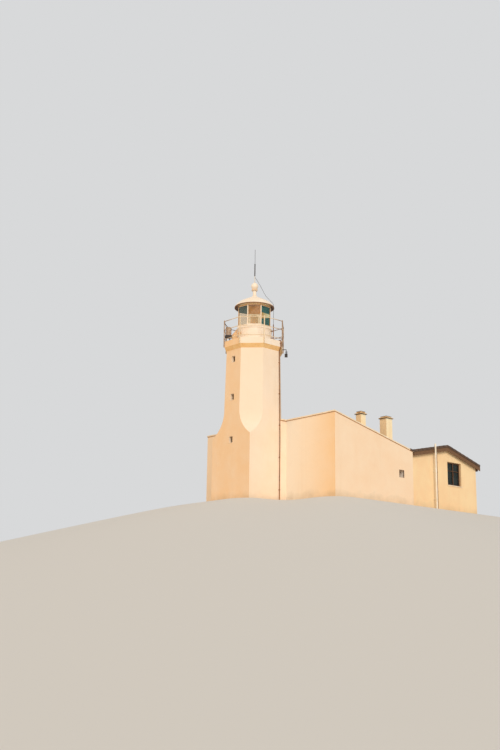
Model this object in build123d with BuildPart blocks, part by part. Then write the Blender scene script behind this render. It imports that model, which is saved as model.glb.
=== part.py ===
from build123d import *
from math import atan, cos, degrees, dist, radians, sin, sqrt, tan
import os

os.makedirs("parts", exist_ok=True)

# A small masonry lighthouse with a keeper's house behind it.
# The origin is on the ground at the tower's axis, and the sea lies towards -Y.

# Tower
side_count = 8
base_half_width = 1387
shaft_lean = 86
base_height = 3135
shaft_height = 7447
tower_wall = 500
broach_top = 4440
floor_thickness = 120
tower_door_margin = 32
door_height = 2050

# Slit windows in the seaward wall
slit_width = 240
slit_height = 310
low_slit_drop = 160
middle_slit_share = 0.5244
high_slit_drop = 477
slit_reveal = 140
slit_frame_bar = 25
frame_depth = 60
glass_thickness = 8

# Cornice, gallery floor and its hatch
cornice_height = 204
cornice_projection = 107
slab_thickness = 296
hatch_width = 500
hatch_length = 520
hatch_gap = 30

# Gallery railing
post_size = 42
post_standoff = 10
lug_height = 70
lug_inset = 40
rail_radius = 17
rail_heights = (113, 593, 1033)

# Lantern: its octagon is turned a little against the tower's
lantern_turn = 4
drum_radius = 880
drum_wall = 130
drum_height = 673
ledge_height = 60
ledge_projection = 25
sill_height = 110
sill_setback = 45
glazing_apothem = 800
glazing_height = 1000
lantern_post = 50
frieze_height = 45
frieze_margin = 12
gallery_door_width = 460
gallery_door_height = 520
gallery_door_sill = 60
leaf_thickness = 40

# Lantern roof and what stands on it
roof_rim_radius = 996
rim_width = 40
rim_height = 41
ceiling_thickness = 20
roof_shoulder = (700, 275)
roof_crown = (340, 460)
roof_flare = (180, 530)
neck_radius = 85
neck_foot_rise = 624
roof_skin = 20
vent_bore_radius = 40
neck_height = 270
flange_radius = 150
flange_height = 60
ball_radius = 180
ball_sink = 10
ball_skin = 12
stem_radius = 15
stem_height = 370
rod_radius = 26
rod_height = 650
spike_radius = 9
spike_height = 770
rod_foot_radius = 45
rod_foot_height = 40

# Light inside the lantern
pedestal_radius = 110
pedestal_foot_radius = 170
pedestal_foot_height = 30
pedestal_height = 880
lens_radius = 190
lens_height = 560
lens_wall = 15
lens_cap_height = 35
lens_cap_margin = 12

# Lightning conductor and its conduit
cable_radius = 8
cable_start_drop = 60
conduit_radius = 22
conduit_rise = 953
conduit_inset = 45
conduit_gap = 20
conduit_bend = 70
conduit_lean_bend = 2000
rim_clearance = 14
clip_height = 30
clip_width = 70
clip_grip = 12
shaft_clips = 5
shaft_clip_margin = 600
drum_clip_heights = (250, 600)

# Small lamp on the gallery and floodlight below it
lamp_edge_margin = 10
lamp_plate_radius = 180
lamp_plate_height = 100
lamp_leg_length = 223
lamp_leg_radius = 14
lamp_leg_circle = 130
lamp_glass_radius = 135
lamp_glass_height = 370
lamp_cap_height = 40
lamp_arm_radius = 11
lamp_arm_height = 930
flood_reach = 200
flood_width = 140
flood_height = 150
flood_arm_size = 28
flood_arm_drop = 30
flood_hang = 214

# Locker with a sloping lid against the drum
locker_angle = -128
locker_lamp_gap = 54.0082
locker_width = 400
locker_front_height = 400
locker_sunk = 100

# Keeper's house
house_half_length = 4677
house_wall = 450
house_depth = 5438
parapet_height = 4070
low_parapet_height = 2850
coping_thickness = 60
coping_overhang = 30
coping_tail = 90
roof_drop = 270
roof_thickness = 150
back_door_width = 900

# Chimneys on the house roof
large_chimney_width = 430
large_chimney_from_front = 4050
large_chimney_top = 4340
large_cap_size = 510
large_cap_height = 50
large_hood_size = 380
large_hood_gap = 25
small_chimney_width = 330
small_chimney_from_front = 2240
small_chimney_top = 4285
small_cap_size = 420
small_cap_height = 50
small_hood_size = 300
small_hood_gap = 50
hood_thickness = 40
hood_leg = 50
flue_wall = 105

# Rear wing
wing_setback = 150
wing_wall = 300
valley_gap = 101
wing_half_span = 2649
wing_eave_overhang = 204
wing_front_eave_height = 2850
wing_back_eave_height = 2663
wing_ridge_height = 3410
wing_roof_thickness = 120
plate_width = 200
plate_height = 150
gutter_skin = 4
gutter_depth = 90
verge_height = 130
board_thickness = 30
soffit_thickness = 20
mitre_gap = 2
ridge_radius = 120
ridge_skin = 18
ridge_sink = 70
wing_door_width = 900

# Rolls of the roof tiles, which run up the slopes
tile_width = 240
roll_foot = 60
roll_height = 26
roll_angle = 60
roll_margin = 30
roll_to_ridge = 125

# Windows of the house and the wing
small_window_width = 350
small_window_height = 370
small_window_from_back = 850
small_window_centre_height = 1595
small_window_reveal = 290
wing_window_width = 1100
wing_window_height = 1200
wing_window_top = 2640
wing_window_past_ridge = 665
back_window_spacing = 4800
back_window_top = 2270
window_reveal = 110
frame_bar = 55

# Vent pipe on the wing's gable
pipe_radius = 45
pipe_wall = 4
pipe_top = 3370
pipe_before_ridge = 1045
pipe_gap = 6
bracket_heights = (600, 2000)
bracket_size = 30

# Worked out from the sizes above
edge_angle = 180 / side_count
lean_angle = degrees(atan(shaft_lean / (shaft_height - base_height)))
shaft_top_half_width = base_half_width - shaft_lean
well_apothem = shaft_top_half_width - tower_wall
tower_door_width = 2 * (well_apothem * tan(radians(edge_angle)) - tower_door_margin)
low_slit_place = base_height - low_slit_drop
high_slit_place = shaft_height - high_slit_drop
middle_slit_place = low_slit_place + middle_slit_share * (high_slit_place - low_slit_place)
slit_centre_heights = (low_slit_place, middle_slit_place, high_slit_place)
sector_reach = 2 * sqrt(2) * base_half_width
tower_door_top = floor_thickness + door_height
cornice_top = shaft_height + cornice_height
slab_half_width = shaft_top_half_width + cornice_projection
gallery_top = cornice_top + slab_thickness
slab_corner = slab_half_width / cos(radians(edge_angle))
post_distance = slab_corner + post_standoff + post_size / 2
drum_inner = drum_radius - drum_wall
drum_top = gallery_top + drum_height
ledge_top = drum_top + ledge_height
sill_top = ledge_top + sill_height
sill_apothem = drum_radius - sill_setback
glazing_top = sill_top + glazing_height
frieze_top = glazing_top + frieze_height
lantern_post_distance = (glazing_apothem - lantern_post / 2) / cos(radians(edge_angle))
rim_top = frieze_top + rim_height
neck_foot = rim_top + neck_foot_rise
flange_bottom = neck_foot + neck_height
flange_top = flange_bottom + flange_height
ball_centre = flange_top - ball_sink + ball_radius
ball_top = ball_centre + ball_radius
house_front = base_half_width - house_wall
house_back = house_front + house_depth
house_inner_half = house_half_length - house_wall
wall_top = parapet_height - coping_thickness
parapet_fall = (parapet_height - low_parapet_height) / house_depth
ridge_place = house_back + valley_gap + wing_half_span
wing_eave_end = ridge_place + wing_half_span
wing_back = wing_eave_end - wing_eave_overhang
wing_outer = house_half_length - wing_setback
wing_inner_half = wing_outer - wing_wall
wing_front_pitch = (wing_ridge_height - wing_front_eave_height) / wing_half_span
wing_back_pitch = (wing_ridge_height - wing_back_eave_height) / wing_half_span


def polar(radius, angle):
    """A point at a distance and an angle in degrees from the tower's axis."""
    return (radius * cos(radians(angle)), radius * sin(radians(angle)))


def shaft_half_width(height):
    """How far the tower's faces stand from its axis at a height."""
    share = max(0, height - base_height) / (shaft_height - base_height)
    return base_half_width - shaft_lean * share


def parapet_line(y):
    """Height of the side parapets' coping, which falls away from the sea."""
    return parapet_height - parapet_fall * (y - house_front)


def roof_line(y):
    """Height of the house roof's upper surface."""
    return parapet_line(y) - roof_drop


def wing_roof_line(y):
    """Height of the wing roof's upper surface."""
    pitch = wing_front_pitch if y < ridge_place else wing_back_pitch
    return wing_ridge_height - pitch * abs(y - ridge_place)


def wing_soffit_line(y):
    """Height of the wing roof's underside."""
    return wing_roof_line(y) - wing_roof_thickness


def up_slope(start, end):
    """A plane across a roof slope, with its second axis out of the roof, and the slope's length."""
    run = Vector(0, end[0] - start[0], end[1] - start[1])
    return Plane(origin=(0, *start), x_dir=(1, 0, 0), z_dir=run), run.length


def roll_places(half_width):
    """Where the joints between the columns of tiles lie across a roof."""
    columns = round(2 * half_width / tile_width)
    return GridLocations(2 * half_width / columns, 0, columns - 1, 1)


def chimney_stack(width, start, top):
    """One chimney's outer body, which stands on the slope of the roof."""
    with BuildPart() as stack:
        with BuildSketch(Plane.YZ.offset(house_inner_half - width)):
            with BuildLine():
                Polyline(
                    (start, roof_line(start)),
                    (start + width, roof_line(start + width)),
                    (start + width, top),
                    (start, top),
                    close=True,
                )
            make_face()
        extrude(amount=width)
    return stack.part


def upright(angle):
    """A plane through the tower's axis: its first axis points out, its second up."""
    across = (sin(radians(angle)), -cos(radians(angle)), 0)
    return Plane(origin=(0, 0, 0), x_dir=(*polar(1, angle), 0), z_dir=across)


def octagon(apothem, mode=Mode.ADD, turn=0):
    """An octagon with faces towards X and Y, or turned from there."""
    return RegularPolygon(apothem, side_count, major_radius=False, rotation=edge_angle + turn, mode=mode)


def stave(middle_angle, bottom, top):
    """One eighth of the tower's wall, between two planes through its axis."""
    with BuildPart() as wall:
        with BuildSketch():
            octagon(base_half_width)
        extrude(amount=base_height)
        with BuildSketch(Plane.XY.offset(base_height)):
            octagon(base_half_width)
        extrude(amount=shaft_height - base_height, taper=lean_angle)
        with BuildSketch():
            octagon(well_apothem)
        extrude(amount=shaft_height, mode=Mode.SUBTRACT)
        with BuildSketch(Plane.XY.offset(bottom)):
            with BuildLine():
                Polyline(
                    (0, 0),
                    polar(sector_reach, middle_angle - edge_angle),
                    polar(sector_reach, middle_angle + edge_angle),
                    close=True,
                )
            make_face()
        extrude(amount=top - bottom, mode=Mode.INTERSECT)
    return wall.part


def square_corner(middle_angle, top):
    """A corner of the square base, carried up with the lean of the faces."""
    with BuildPart() as corner:
        with BuildSketch():
            Rectangle(2 * base_half_width, 2 * base_half_width)
        extrude(amount=base_height)
        with BuildSketch(Plane.XY.offset(base_height)):
            Rectangle(2 * base_half_width, 2 * base_half_width)
        extrude(amount=shaft_height - base_height, taper=lean_angle)
        with BuildSketch():
            octagon(well_apothem)
        extrude(amount=shaft_height, mode=Mode.SUBTRACT)
        with BuildSketch():
            with BuildLine():
                Polyline(
                    (0, 0),
                    polar(sector_reach, middle_angle - edge_angle),
                    polar(sector_reach, middle_angle + edge_angle),
                    close=True,
                )
            make_face()
        extrude(amount=top, mode=Mode.INTERSECT)
    return corner.part


def glazing_ring(outer, inner, bottom, height):
    """An eight-sided ring that follows the lantern's panes."""
    with BuildPart() as ring:
        with BuildSketch(Plane.XY.offset(bottom)):
            octagon(outer, turn=lantern_turn)
            octagon(inner, Mode.SUBTRACT, lantern_turn)
        extrude(amount=height)
    return ring.part


def round_ring(outer, inner, bottom, height):
    """A round ring about the tower's axis."""
    with BuildPart() as ring:
        with BuildSketch(Plane.XY.offset(bottom)):
            Circle(outer)
            Circle(inner, mode=Mode.SUBTRACT)
        extrude(amount=height)
    return ring.part


# Tower walls
with BuildPart() as tower_seaward_wall:
    add(stave(-90, 0, shaft_height))
    with BuildSketch(Plane.XZ):
        with Locations([(0, height) for height in slit_centre_heights]):
            Rectangle(slit_width, slit_height)
    extrude(amount=base_half_width, mode=Mode.SUBTRACT)
tower_seaward_wall.part.label = "tower_seaward_wall"
export_step(tower_seaward_wall.part, "parts/tower_seaward_wall.step")

with BuildPart() as tower_side_walls:
    add(stave(0, 0, shaft_height))
    add(stave(180, 0, shaft_height))
tower_side_walls.part.label = "tower_side_walls"
export_step(tower_side_walls.part, "parts/tower_side_walls.step")

with BuildPart() as tower_back_wall:
    add(stave(90, tower_door_top, shaft_height))
tower_back_wall.part.label = "tower_back_wall"
export_step(tower_back_wall.part, "parts/tower_back_wall.step")

with BuildPart() as tower_door_piers:
    add(stave(90, 0, tower_door_top))
    with BuildSketch(Plane.XZ):
        Rectangle(tower_door_width, 2 * tower_door_top)
    extrude(amount=-2 * base_half_width, mode=Mode.SUBTRACT)
tower_door_piers.part.label = "tower_door_piers"
export_step(tower_door_piers.part, "parts/tower_door_piers.step")

# The broach is an arc that leaves the chamfer upright and meets the square corner
broach_face = shaft_half_width(broach_top)
broach_run = sqrt(2) * base_half_width - broach_face
broach_rise = broach_top - base_height
broach_radius = (broach_rise**2 + broach_run**2) / (2 * broach_run)

with BuildPart() as tower_front_corners:
    for angle in (-135, -45):
        add(square_corner(angle, broach_top))
        with BuildSketch(upright(angle)):
            with BuildLine():
                foot = (broach_face + broach_run, base_height)
                RadiusArc((broach_face, broach_top), foot, -broach_radius)
                Polyline(
                    foot,
                    (sector_reach, base_height),
                    (sector_reach, broach_top),
                    (broach_face, broach_top),
                )
            make_face()
        extrude(amount=base_half_width, both=True, mode=Mode.SUBTRACT)
tower_front_corners.part.label = "tower_front_corners"
export_step(tower_front_corners.part, "parts/tower_front_corners.step")

with BuildPart() as tower_rear_corners:
    add(square_corner(45, wall_top))
    add(square_corner(135, wall_top))
tower_rear_corners.part.label = "tower_rear_corners"
export_step(tower_rear_corners.part, "parts/tower_rear_corners.step")

with BuildPart() as tower_upper_corners:
    add(stave(-135, broach_top, shaft_height))
    add(stave(-45, broach_top, shaft_height))
    add(stave(45, wall_top, shaft_height))
    add(stave(135, wall_top, shaft_height))
tower_upper_corners.part.label = "tower_upper_corners"
export_step(tower_upper_corners.part, "parts/tower_upper_corners.step")

with BuildPart() as tower_floor:
    with BuildSketch():
        octagon(well_apothem)
        Rectangle(tower_door_width, base_half_width, align=(Align.CENTER, Align.MIN))
    extrude(amount=floor_thickness)
tower_floor.part.label = "tower_floor"
export_step(tower_floor.part, "parts/tower_floor.step")

# Slit windows, set back in their openings: the plane of each outer frame face
slit_planes = [
    Plane(
        origin=(0, slit_reveal - shaft_half_width(height), height),
        x_dir=(1, 0, 0),
        z_dir=(0, -1, 0),
    )
    for height in slit_centre_heights
]

# Cornice and gallery floor
with BuildPart() as cornice:
    with BuildSketch(Plane.XY.offset(shaft_height)):
        octagon(shaft_top_half_width)
    extrude(amount=cornice_height, taper=-degrees(atan(cornice_projection / cornice_height)))
    with BuildSketch(Plane.XY.offset(shaft_height)):
        octagon(well_apothem)
    extrude(amount=cornice_height, mode=Mode.SUBTRACT)
cornice.part.label = "cornice"
export_step(cornice.part, "parts/cornice.step")

with BuildPart() as gallery_slab:
    with BuildSketch(Plane.XY.offset(cornice_top)):
        octagon(slab_half_width)
        with Locations((0, drum_inner - hatch_gap - hatch_length / 2)):
            Rectangle(hatch_width, hatch_length, mode=Mode.SUBTRACT)
    extrude(amount=slab_thickness)
gallery_slab.part.label = "gallery_slab"
export_step(gallery_slab.part, "parts/gallery_slab.step")

# Railing: a welded panel on each main side, loose rails across each corner face
rail_levels = [gallery_top + height for height in rail_heights]
post_top = rail_levels[-1] + rail_radius

with BuildPart() as railing_panels:
    with BuildSketch(Plane.XY.offset(cornice_top)):
        for step in range(side_count):
            angle = edge_angle * (2 * step + 1)
            with Locations(Location((*polar(post_distance, angle), 0), (0, 0, angle))):
                Rectangle(post_size, post_size)
    extrude(amount=post_top - cornice_top)
    for lug_bottom in (cornice_top + lug_inset, gallery_top - lug_inset - lug_height):
        with BuildSketch(Plane.XY.offset(lug_bottom)):
            for step in range(side_count):
                angle = edge_angle * (2 * step + 1)
                lug_place = (*polar(post_distance - post_size / 2, angle), 0)
                with Locations(Location(lug_place, (0, 0, angle))):
                    Rectangle(post_size, post_size)
        extrude(amount=lug_height)
    with BuildSketch(Plane.XY.offset(cornice_top)):
        octagon(slab_half_width)
    extrude(amount=slab_thickness, mode=Mode.SUBTRACT)
    for middle_angle in (-90, 0, 90, 180):
        start = polar(post_distance, middle_angle - edge_angle)
        end = polar(post_distance, middle_angle + edge_angle)
        along = (end[0] - start[0], end[1] - start[1], 0)
        for level in rail_levels:
            with BuildSketch(Plane(origin=(*start, level), z_dir=along)):
                Circle(rail_radius)
            extrude(amount=dist(start, end))
railing_panels.part.label = "railing_panels"
export_step(railing_panels.part, "parts/railing_panels.step")

with BuildPart() as railing_corner_rails:
    for middle_angle in (-135, -45, 45, 135):
        start = polar(post_distance, middle_angle - edge_angle)
        end = polar(post_distance, middle_angle + edge_angle)
        along = (end[0] - start[0], end[1] - start[1], 0)
        for level in rail_levels:
            with BuildSketch(Plane(origin=(*start, level), z_dir=along)):
                Circle(rail_radius)
            extrude(amount=dist(start, end))
    with BuildSketch(Plane.XY.offset(gallery_top)):
        for step in range(side_count):
            angle = edge_angle * (2 * step + 1)
            with Locations(Location((*polar(post_distance, angle), 0), (0, 0, angle))):
                Rectangle(post_size, post_size)
    extrude(amount=post_top - gallery_top, mode=Mode.SUBTRACT)
railing_corner_rails.part.label = "railing_corner_rails"
export_step(railing_corner_rails.part, "parts/railing_corner_rails.step")

# Lantern drum, its small door, and the stepped sill on it
door_centre = gallery_top + gallery_door_sill + gallery_door_height / 2

with BuildPart() as lantern_drum:
    add(round_ring(drum_radius, drum_inner, gallery_top, drum_height))
    with BuildSketch(Plane.XZ):
        with Locations((0, door_centre)):
            Rectangle(gallery_door_width, gallery_door_height)
    extrude(amount=-drum_radius - ledge_projection, mode=Mode.SUBTRACT)
lantern_drum.part.label = "lantern_drum"
export_step(lantern_drum.part, "parts/lantern_drum.step")

with BuildPart() as gallery_door:
    door_bottom = gallery_top + gallery_door_sill
    add(round_ring(drum_radius, drum_radius - leaf_thickness, door_bottom, gallery_door_height))
    with BuildSketch(Plane.XZ):
        with Locations((0, door_centre)):
            Rectangle(gallery_door_width, gallery_door_height)
    extrude(amount=-drum_radius - ledge_projection, mode=Mode.INTERSECT)
gallery_door.part.label = "gallery_door"
export_step(gallery_door.part, "parts/gallery_door.step")

with BuildPart() as lantern_sill:
    add(round_ring(drum_radius + ledge_projection, drum_inner, drum_top, ledge_height))
    with BuildSketch(Plane.XY.offset(ledge_top)):
        octagon(sill_apothem, turn=lantern_turn)
        Circle(drum_inner, mode=Mode.SUBTRACT)
    extrude(amount=sill_height)
lantern_sill.part.label = "lantern_sill"
export_step(lantern_sill.part, "parts/lantern_sill.step")

# Glazing between eight posts, with a frieze over it
with BuildPart() as lantern_posts:
    with BuildSketch(Plane.XY.offset(sill_top)):
        for step in range(side_count):
            angle = lantern_turn + edge_angle * (2 * step + 1)
            with Locations(Location((*polar(lantern_post_distance, angle), 0), (0, 0, angle))):
                Rectangle(lantern_post, lantern_post)
    extrude(amount=glazing_height)
lantern_posts.part.label = "lantern_posts"
export_step(lantern_posts.part, "parts/lantern_posts.step")

pane_apothem = glazing_apothem - lantern_post / 2 + glass_thickness / 2

with BuildPart() as lantern_glass:
    add(glazing_ring(pane_apothem, pane_apothem - glass_thickness, sill_top, glazing_height))
    add(lantern_posts.part, mode=Mode.SUBTRACT)
lantern_glass.part.label = "lantern_glass"
export_step(lantern_glass.part, "parts/lantern_glass.step")

with BuildPart() as lantern_frieze:
    frieze_inner = glazing_apothem - lantern_post - frieze_margin
    add(glazing_ring(glazing_apothem + frieze_margin, frieze_inner, glazing_top, frieze_height))
lantern_frieze.part.label = "lantern_frieze"
export_step(lantern_frieze.part, "parts/lantern_frieze.step")

# Round roof: rim, ceiling and a domed skin that flares up into the ventilator
with BuildPart() as roof_rim:
    with BuildSketch(Plane.XY.offset(frieze_top)):
        Circle(roof_rim_radius)
        Circle(roof_rim_radius - rim_width, mode=Mode.SUBTRACT)
    extrude(amount=rim_height)
roof_rim.part.label = "roof_rim"
export_step(roof_rim.part, "parts/roof_rim.step")

with BuildPart() as lantern_ceiling:
    with BuildSketch(Plane.XY.offset(frieze_top)):
        Circle(roof_rim_radius - rim_width)
        Circle(vent_bore_radius, mode=Mode.SUBTRACT)
    extrude(amount=ceiling_thickness)
lantern_ceiling.part.label = "lantern_ceiling"
export_step(lantern_ceiling.part, "parts/lantern_ceiling.step")

with BuildPart() as lantern_roof:
    for drop, mode in ((0, Mode.ADD), (roof_skin, Mode.SUBTRACT)):
        with BuildSketch(Plane(origin=(0, 0, rim_top - drop), z_dir=(0, -1, 0), x_dir=(1, 0, 0))):
            with BuildLine():
                ThreePointArc((roof_rim_radius, 0), roof_shoulder, roof_crown)
                ThreePointArc(roof_crown, roof_flare, (neck_radius, neck_foot_rise))
                Polyline((neck_radius, neck_foot_rise), (0, neck_foot_rise), (0, 0), (roof_rim_radius, 0))
            make_face()
        revolve(axis=Axis.Z, mode=mode)
    with BuildSketch(Plane.XY.offset(rim_top)):
        Circle(vent_bore_radius)
    extrude(amount=neck_foot_rise, mode=Mode.SUBTRACT)
lantern_roof.part.label = "lantern_roof"
export_step(lantern_roof.part, "parts/lantern_roof.step")

with BuildPart() as ventilator_neck:
    with BuildSketch(Plane.XY.offset(neck_foot)):
        Circle(neck_radius)
    extrude(amount=neck_height)
    with BuildSketch(Plane.XY.offset(flange_bottom)):
        Circle(flange_radius)
    extrude(amount=flange_height)
    with BuildSketch(Plane.XY.offset(neck_foot)):
        Circle(vent_bore_radius)
    extrude(amount=neck_height + flange_height, mode=Mode.SUBTRACT)
ventilator_neck.part.label = "ventilator_neck"
export_step(ventilator_neck.part, "parts/ventilator_neck.step")

with BuildPart() as ventilator_ball:
    with Locations((0, 0, ball_centre)):
        Sphere(ball_radius)
        Sphere(ball_radius - ball_skin, mode=Mode.SUBTRACT)
    with BuildSketch(Plane.XY.offset(flange_top)):
        Circle(flange_radius)
    extrude(amount=-ball_sink, mode=Mode.SUBTRACT)
ventilator_ball.part.label = "ventilator_ball"
export_step(ventilator_ball.part, "parts/ventilator_ball.step")

with BuildPart() as lightning_rod:
    foot_bottom = ball_top - rod_foot_height / 2
    stem_top = ball_top + stem_height
    rod_top = stem_top + rod_height
    with BuildSketch(Plane.XY.offset(foot_bottom)):
        Circle(rod_foot_radius)
    extrude(amount=rod_foot_height)
    with BuildSketch(Plane.XY.offset(ball_top)):
        Circle(stem_radius)
    extrude(amount=stem_height)
    with BuildSketch(Plane.XY.offset(stem_top)):
        Circle(rod_radius)
    extrude(amount=rod_height)
    with BuildSketch(Plane.XY.offset(rod_top)):
        Circle(spike_radius)
    extrude(amount=spike_height)
    fillet(edges().sort_by(Axis.Z)[-1], spike_radius / 2)
    with Locations((0, 0, ball_centre)):
        Sphere(ball_radius, mode=Mode.SUBTRACT)
lightning_rod.part.label = "lightning_rod"
export_step(lightning_rod.part, "parts/lightning_rod.step")

# Light inside the lantern: a hollow lens between its pedestal and its cap
lens_bottom = gallery_top + pedestal_height
lens_top = lens_bottom + lens_height

with BuildPart() as light_stand:
    with BuildSketch(Plane.XY.offset(gallery_top)):
        Circle(pedestal_foot_radius)
    extrude(amount=pedestal_foot_height)
    with BuildSketch(Plane.XY.offset(gallery_top)):
        Circle(pedestal_radius)
    extrude(amount=pedestal_height)
    with BuildSketch(Plane.XY.offset(lens_bottom)):
        Circle(lens_radius + lens_cap_margin)
    extrude(amount=-lens_cap_height)
    with BuildSketch(Plane.XY.offset(lens_top)):
        Circle(lens_radius + lens_cap_margin)
    extrude(amount=lens_cap_height)
light_stand.part.label = "light_stand"
export_step(light_stand.part, "parts/light_stand.step")

with BuildPart() as light_lens:
    with BuildSketch(Plane.XY.offset(lens_bottom)):
        Circle(lens_radius)
        Circle(lens_radius - lens_wall, mode=Mode.SUBTRACT)
    extrude(amount=lens_height)
light_lens.part.label = "light_lens"
export_step(light_lens.part, "parts/light_lens.step")

# Conduit: down the drum, out over the gallery floor and down the tower's side
conduit_y = shaft_top_half_width * tan(radians(edge_angle)) - conduit_inset
cable_distance = roof_rim_radius + rim_clearance + cable_radius
drum_side_x = sqrt(cable_distance**2 - conduit_y**2)
conduit_top = gallery_top + conduit_rise
conduit_floor = gallery_top + conduit_gap + conduit_radius
edge_x = slab_half_width + conduit_gap + conduit_radius
conduit_offset = conduit_gap + conduit_radius

with BuildPart() as conductor_conduit:
    with BuildLine(Plane.XZ.offset(-conduit_y)) as conduit_route:
        FilletPolyline(
            (drum_side_x, conduit_top),
            (drum_side_x, conduit_floor),
            (edge_x, conduit_floor),
            (edge_x, cornice_top),
            (shaft_top_half_width + conduit_offset, shaft_height),
            (base_half_width + conduit_offset, base_height),
            (base_half_width + conduit_offset, 0),
            radius=[conduit_bend] * 4 + [conduit_lean_bend],
        )
    with BuildSketch(Plane(origin=(drum_side_x, conduit_y, conduit_top), z_dir=(0, 0, -1))):
        Circle(conduit_radius)
    sweep(path=conduit_route.wires()[0])
conductor_conduit.part.label = "conductor_conduit"
export_step(conductor_conduit.part, "parts/conductor_conduit.step")

# The bare cable leaves the rod's stem, passes the ball and the roof's rim
cable_angle = degrees(atan(conduit_y / drum_side_x))
cable_start = ball_top + stem_height - cable_start_drop
cable_points = (
    (stem_radius - cable_radius, cable_start),
    (ball_radius + 40, ball_top - 30),
    (roof_shoulder[0] - 100, neck_foot - 70),
    (cable_distance - 65, rim_top + 160),
    (cable_distance, rim_top + 50),
    (cable_distance, conduit_top),
)
cable_bends = (150, 400, 300, 120)

with BuildPart() as conductor_cable:
    with BuildLine(upright(cable_angle)) as cable_route:
        FilletPolyline(*cable_points, radius=list(cable_bends))
    with BuildSketch(Plane(origin=cable_route.line @ 1, z_dir=(0, 0, 1))):
        Circle(cable_radius)
    sweep(path=cable_route.wires()[0])
    add(lightning_rod.part, mode=Mode.SUBTRACT)
conductor_cable.part.label = "conductor_cable"
export_step(conductor_cable.part, "parts/conductor_cable.step")

# Clips that carry the conduit on the shaft, the gallery edge and the drum
drum_clip_reach = cable_distance - drum_radius + clip_grip

with BuildPart() as conduit_clips:
    for step in range(shaft_clips):
        height = shaft_clip_margin + step * (shaft_height - 2 * shaft_clip_margin) / (shaft_clips - 1)
        face = shaft_half_width(height)
        with BuildSketch(Plane.XY.offset(height)):
            with Locations((face + conduit_offset / 2, conduit_y)):
                Rectangle(conduit_offset + clip_grip, clip_width)
        extrude(amount=clip_height)
    with BuildSketch(Plane.XY.offset(cornice_top + slab_thickness / 2)):
        with Locations((edge_x - conduit_offset / 2, conduit_y)):
            Rectangle(conduit_offset + clip_grip, clip_width)
    extrude(amount=clip_height)
    for height in drum_clip_heights:
        with BuildSketch(Plane.XY.offset(gallery_top + height)):
            with Locations(Location((drum_side_x, conduit_y), cable_angle)):
                with Locations((-drum_clip_reach / 2, 0)):
                    Rectangle(drum_clip_reach, clip_width)
        extrude(amount=clip_height)
    with BuildSketch(Plane.XY):
        octagon(base_half_width)
    extrude(amount=base_height, mode=Mode.SUBTRACT)
    with BuildSketch(Plane.XY.offset(base_height)):
        octagon(base_half_width)
    extrude(amount=shaft_height - base_height, taper=lean_angle, mode=Mode.SUBTRACT)
    with BuildSketch(Plane.XY.offset(cornice_top)):
        octagon(slab_half_width)
    extrude(amount=slab_thickness, mode=Mode.SUBTRACT)
    with BuildSketch(Plane.XY.offset(gallery_top)):
        Circle(drum_radius)
    extrude(amount=drum_height, mode=Mode.SUBTRACT)
    add(conductor_conduit.part, mode=Mode.SUBTRACT)
conduit_clips.part.label = "conduit_clips"
export_step(conduit_clips.part, "parts/conduit_clips.step")

# Small lamp at the gallery's corner: a stand under its glass, and a cap braced to the post
lamp_angle = -90 - edge_angle
lamp_distance = slab_corner - lamp_edge_margin - lamp_plate_radius
lamp_place = polar(lamp_distance, lamp_angle)
plate_bottom = gallery_top + lamp_leg_length
lamp_glass_bottom = plate_bottom + lamp_plate_height
lamp_cap_bottom = lamp_glass_bottom + lamp_glass_height
lamp_top = lamp_cap_bottom + lamp_cap_height

with BuildPart() as gallery_lamp_stand:
    with BuildSketch(Plane.XY.offset(plate_bottom)):
        with Locations(lamp_place):
            Circle(lamp_plate_radius)
    extrude(amount=lamp_plate_height)
    with BuildSketch(Plane.XY.offset(gallery_top)):
        with Locations(lamp_place):
            with PolarLocations(lamp_leg_circle, 3):
                Circle(lamp_leg_radius)
    extrude(amount=lamp_leg_length)
    with BuildSketch(Plane.XY.offset(lamp_cap_bottom)):
        with Locations(lamp_place):
            Circle(lamp_glass_radius + glass_thickness)
    extrude(amount=lamp_cap_height)
    arm_start = Vector(post_distance - post_size / 2, gallery_top + lamp_arm_height)
    arm_end = Vector(lamp_distance, lamp_cap_bottom + lamp_cap_height / 2)
    with BuildSketch(upright(lamp_angle)):
        with BuildLine():
            Line(arm_start, arm_end)
        trace(line_width=2 * lamp_arm_radius)
    extrude(amount=lamp_arm_radius, both=True)
    with BuildSketch(Plane.XY.offset(gallery_top)):
        with Locations(Location((*polar(post_distance, lamp_angle), 0), (0, 0, lamp_angle))):
            Rectangle(post_size, post_size)
    extrude(amount=post_top - gallery_top, mode=Mode.SUBTRACT)
gallery_lamp_stand.part.label = "gallery_lamp_stand"
export_step(gallery_lamp_stand.part, "parts/gallery_lamp_stand.step")

with BuildPart() as gallery_lamp_glass:
    with BuildSketch(Plane.XY.offset(lamp_glass_bottom)):
        with Locations(lamp_place):
            Circle(lamp_glass_radius)
            Circle(lamp_glass_radius - glass_thickness, mode=Mode.SUBTRACT)
    extrude(amount=lamp_glass_height)
gallery_lamp_glass.part.label = "gallery_lamp_glass"
export_step(gallery_lamp_glass.part, "parts/gallery_lamp_glass.step")

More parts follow.
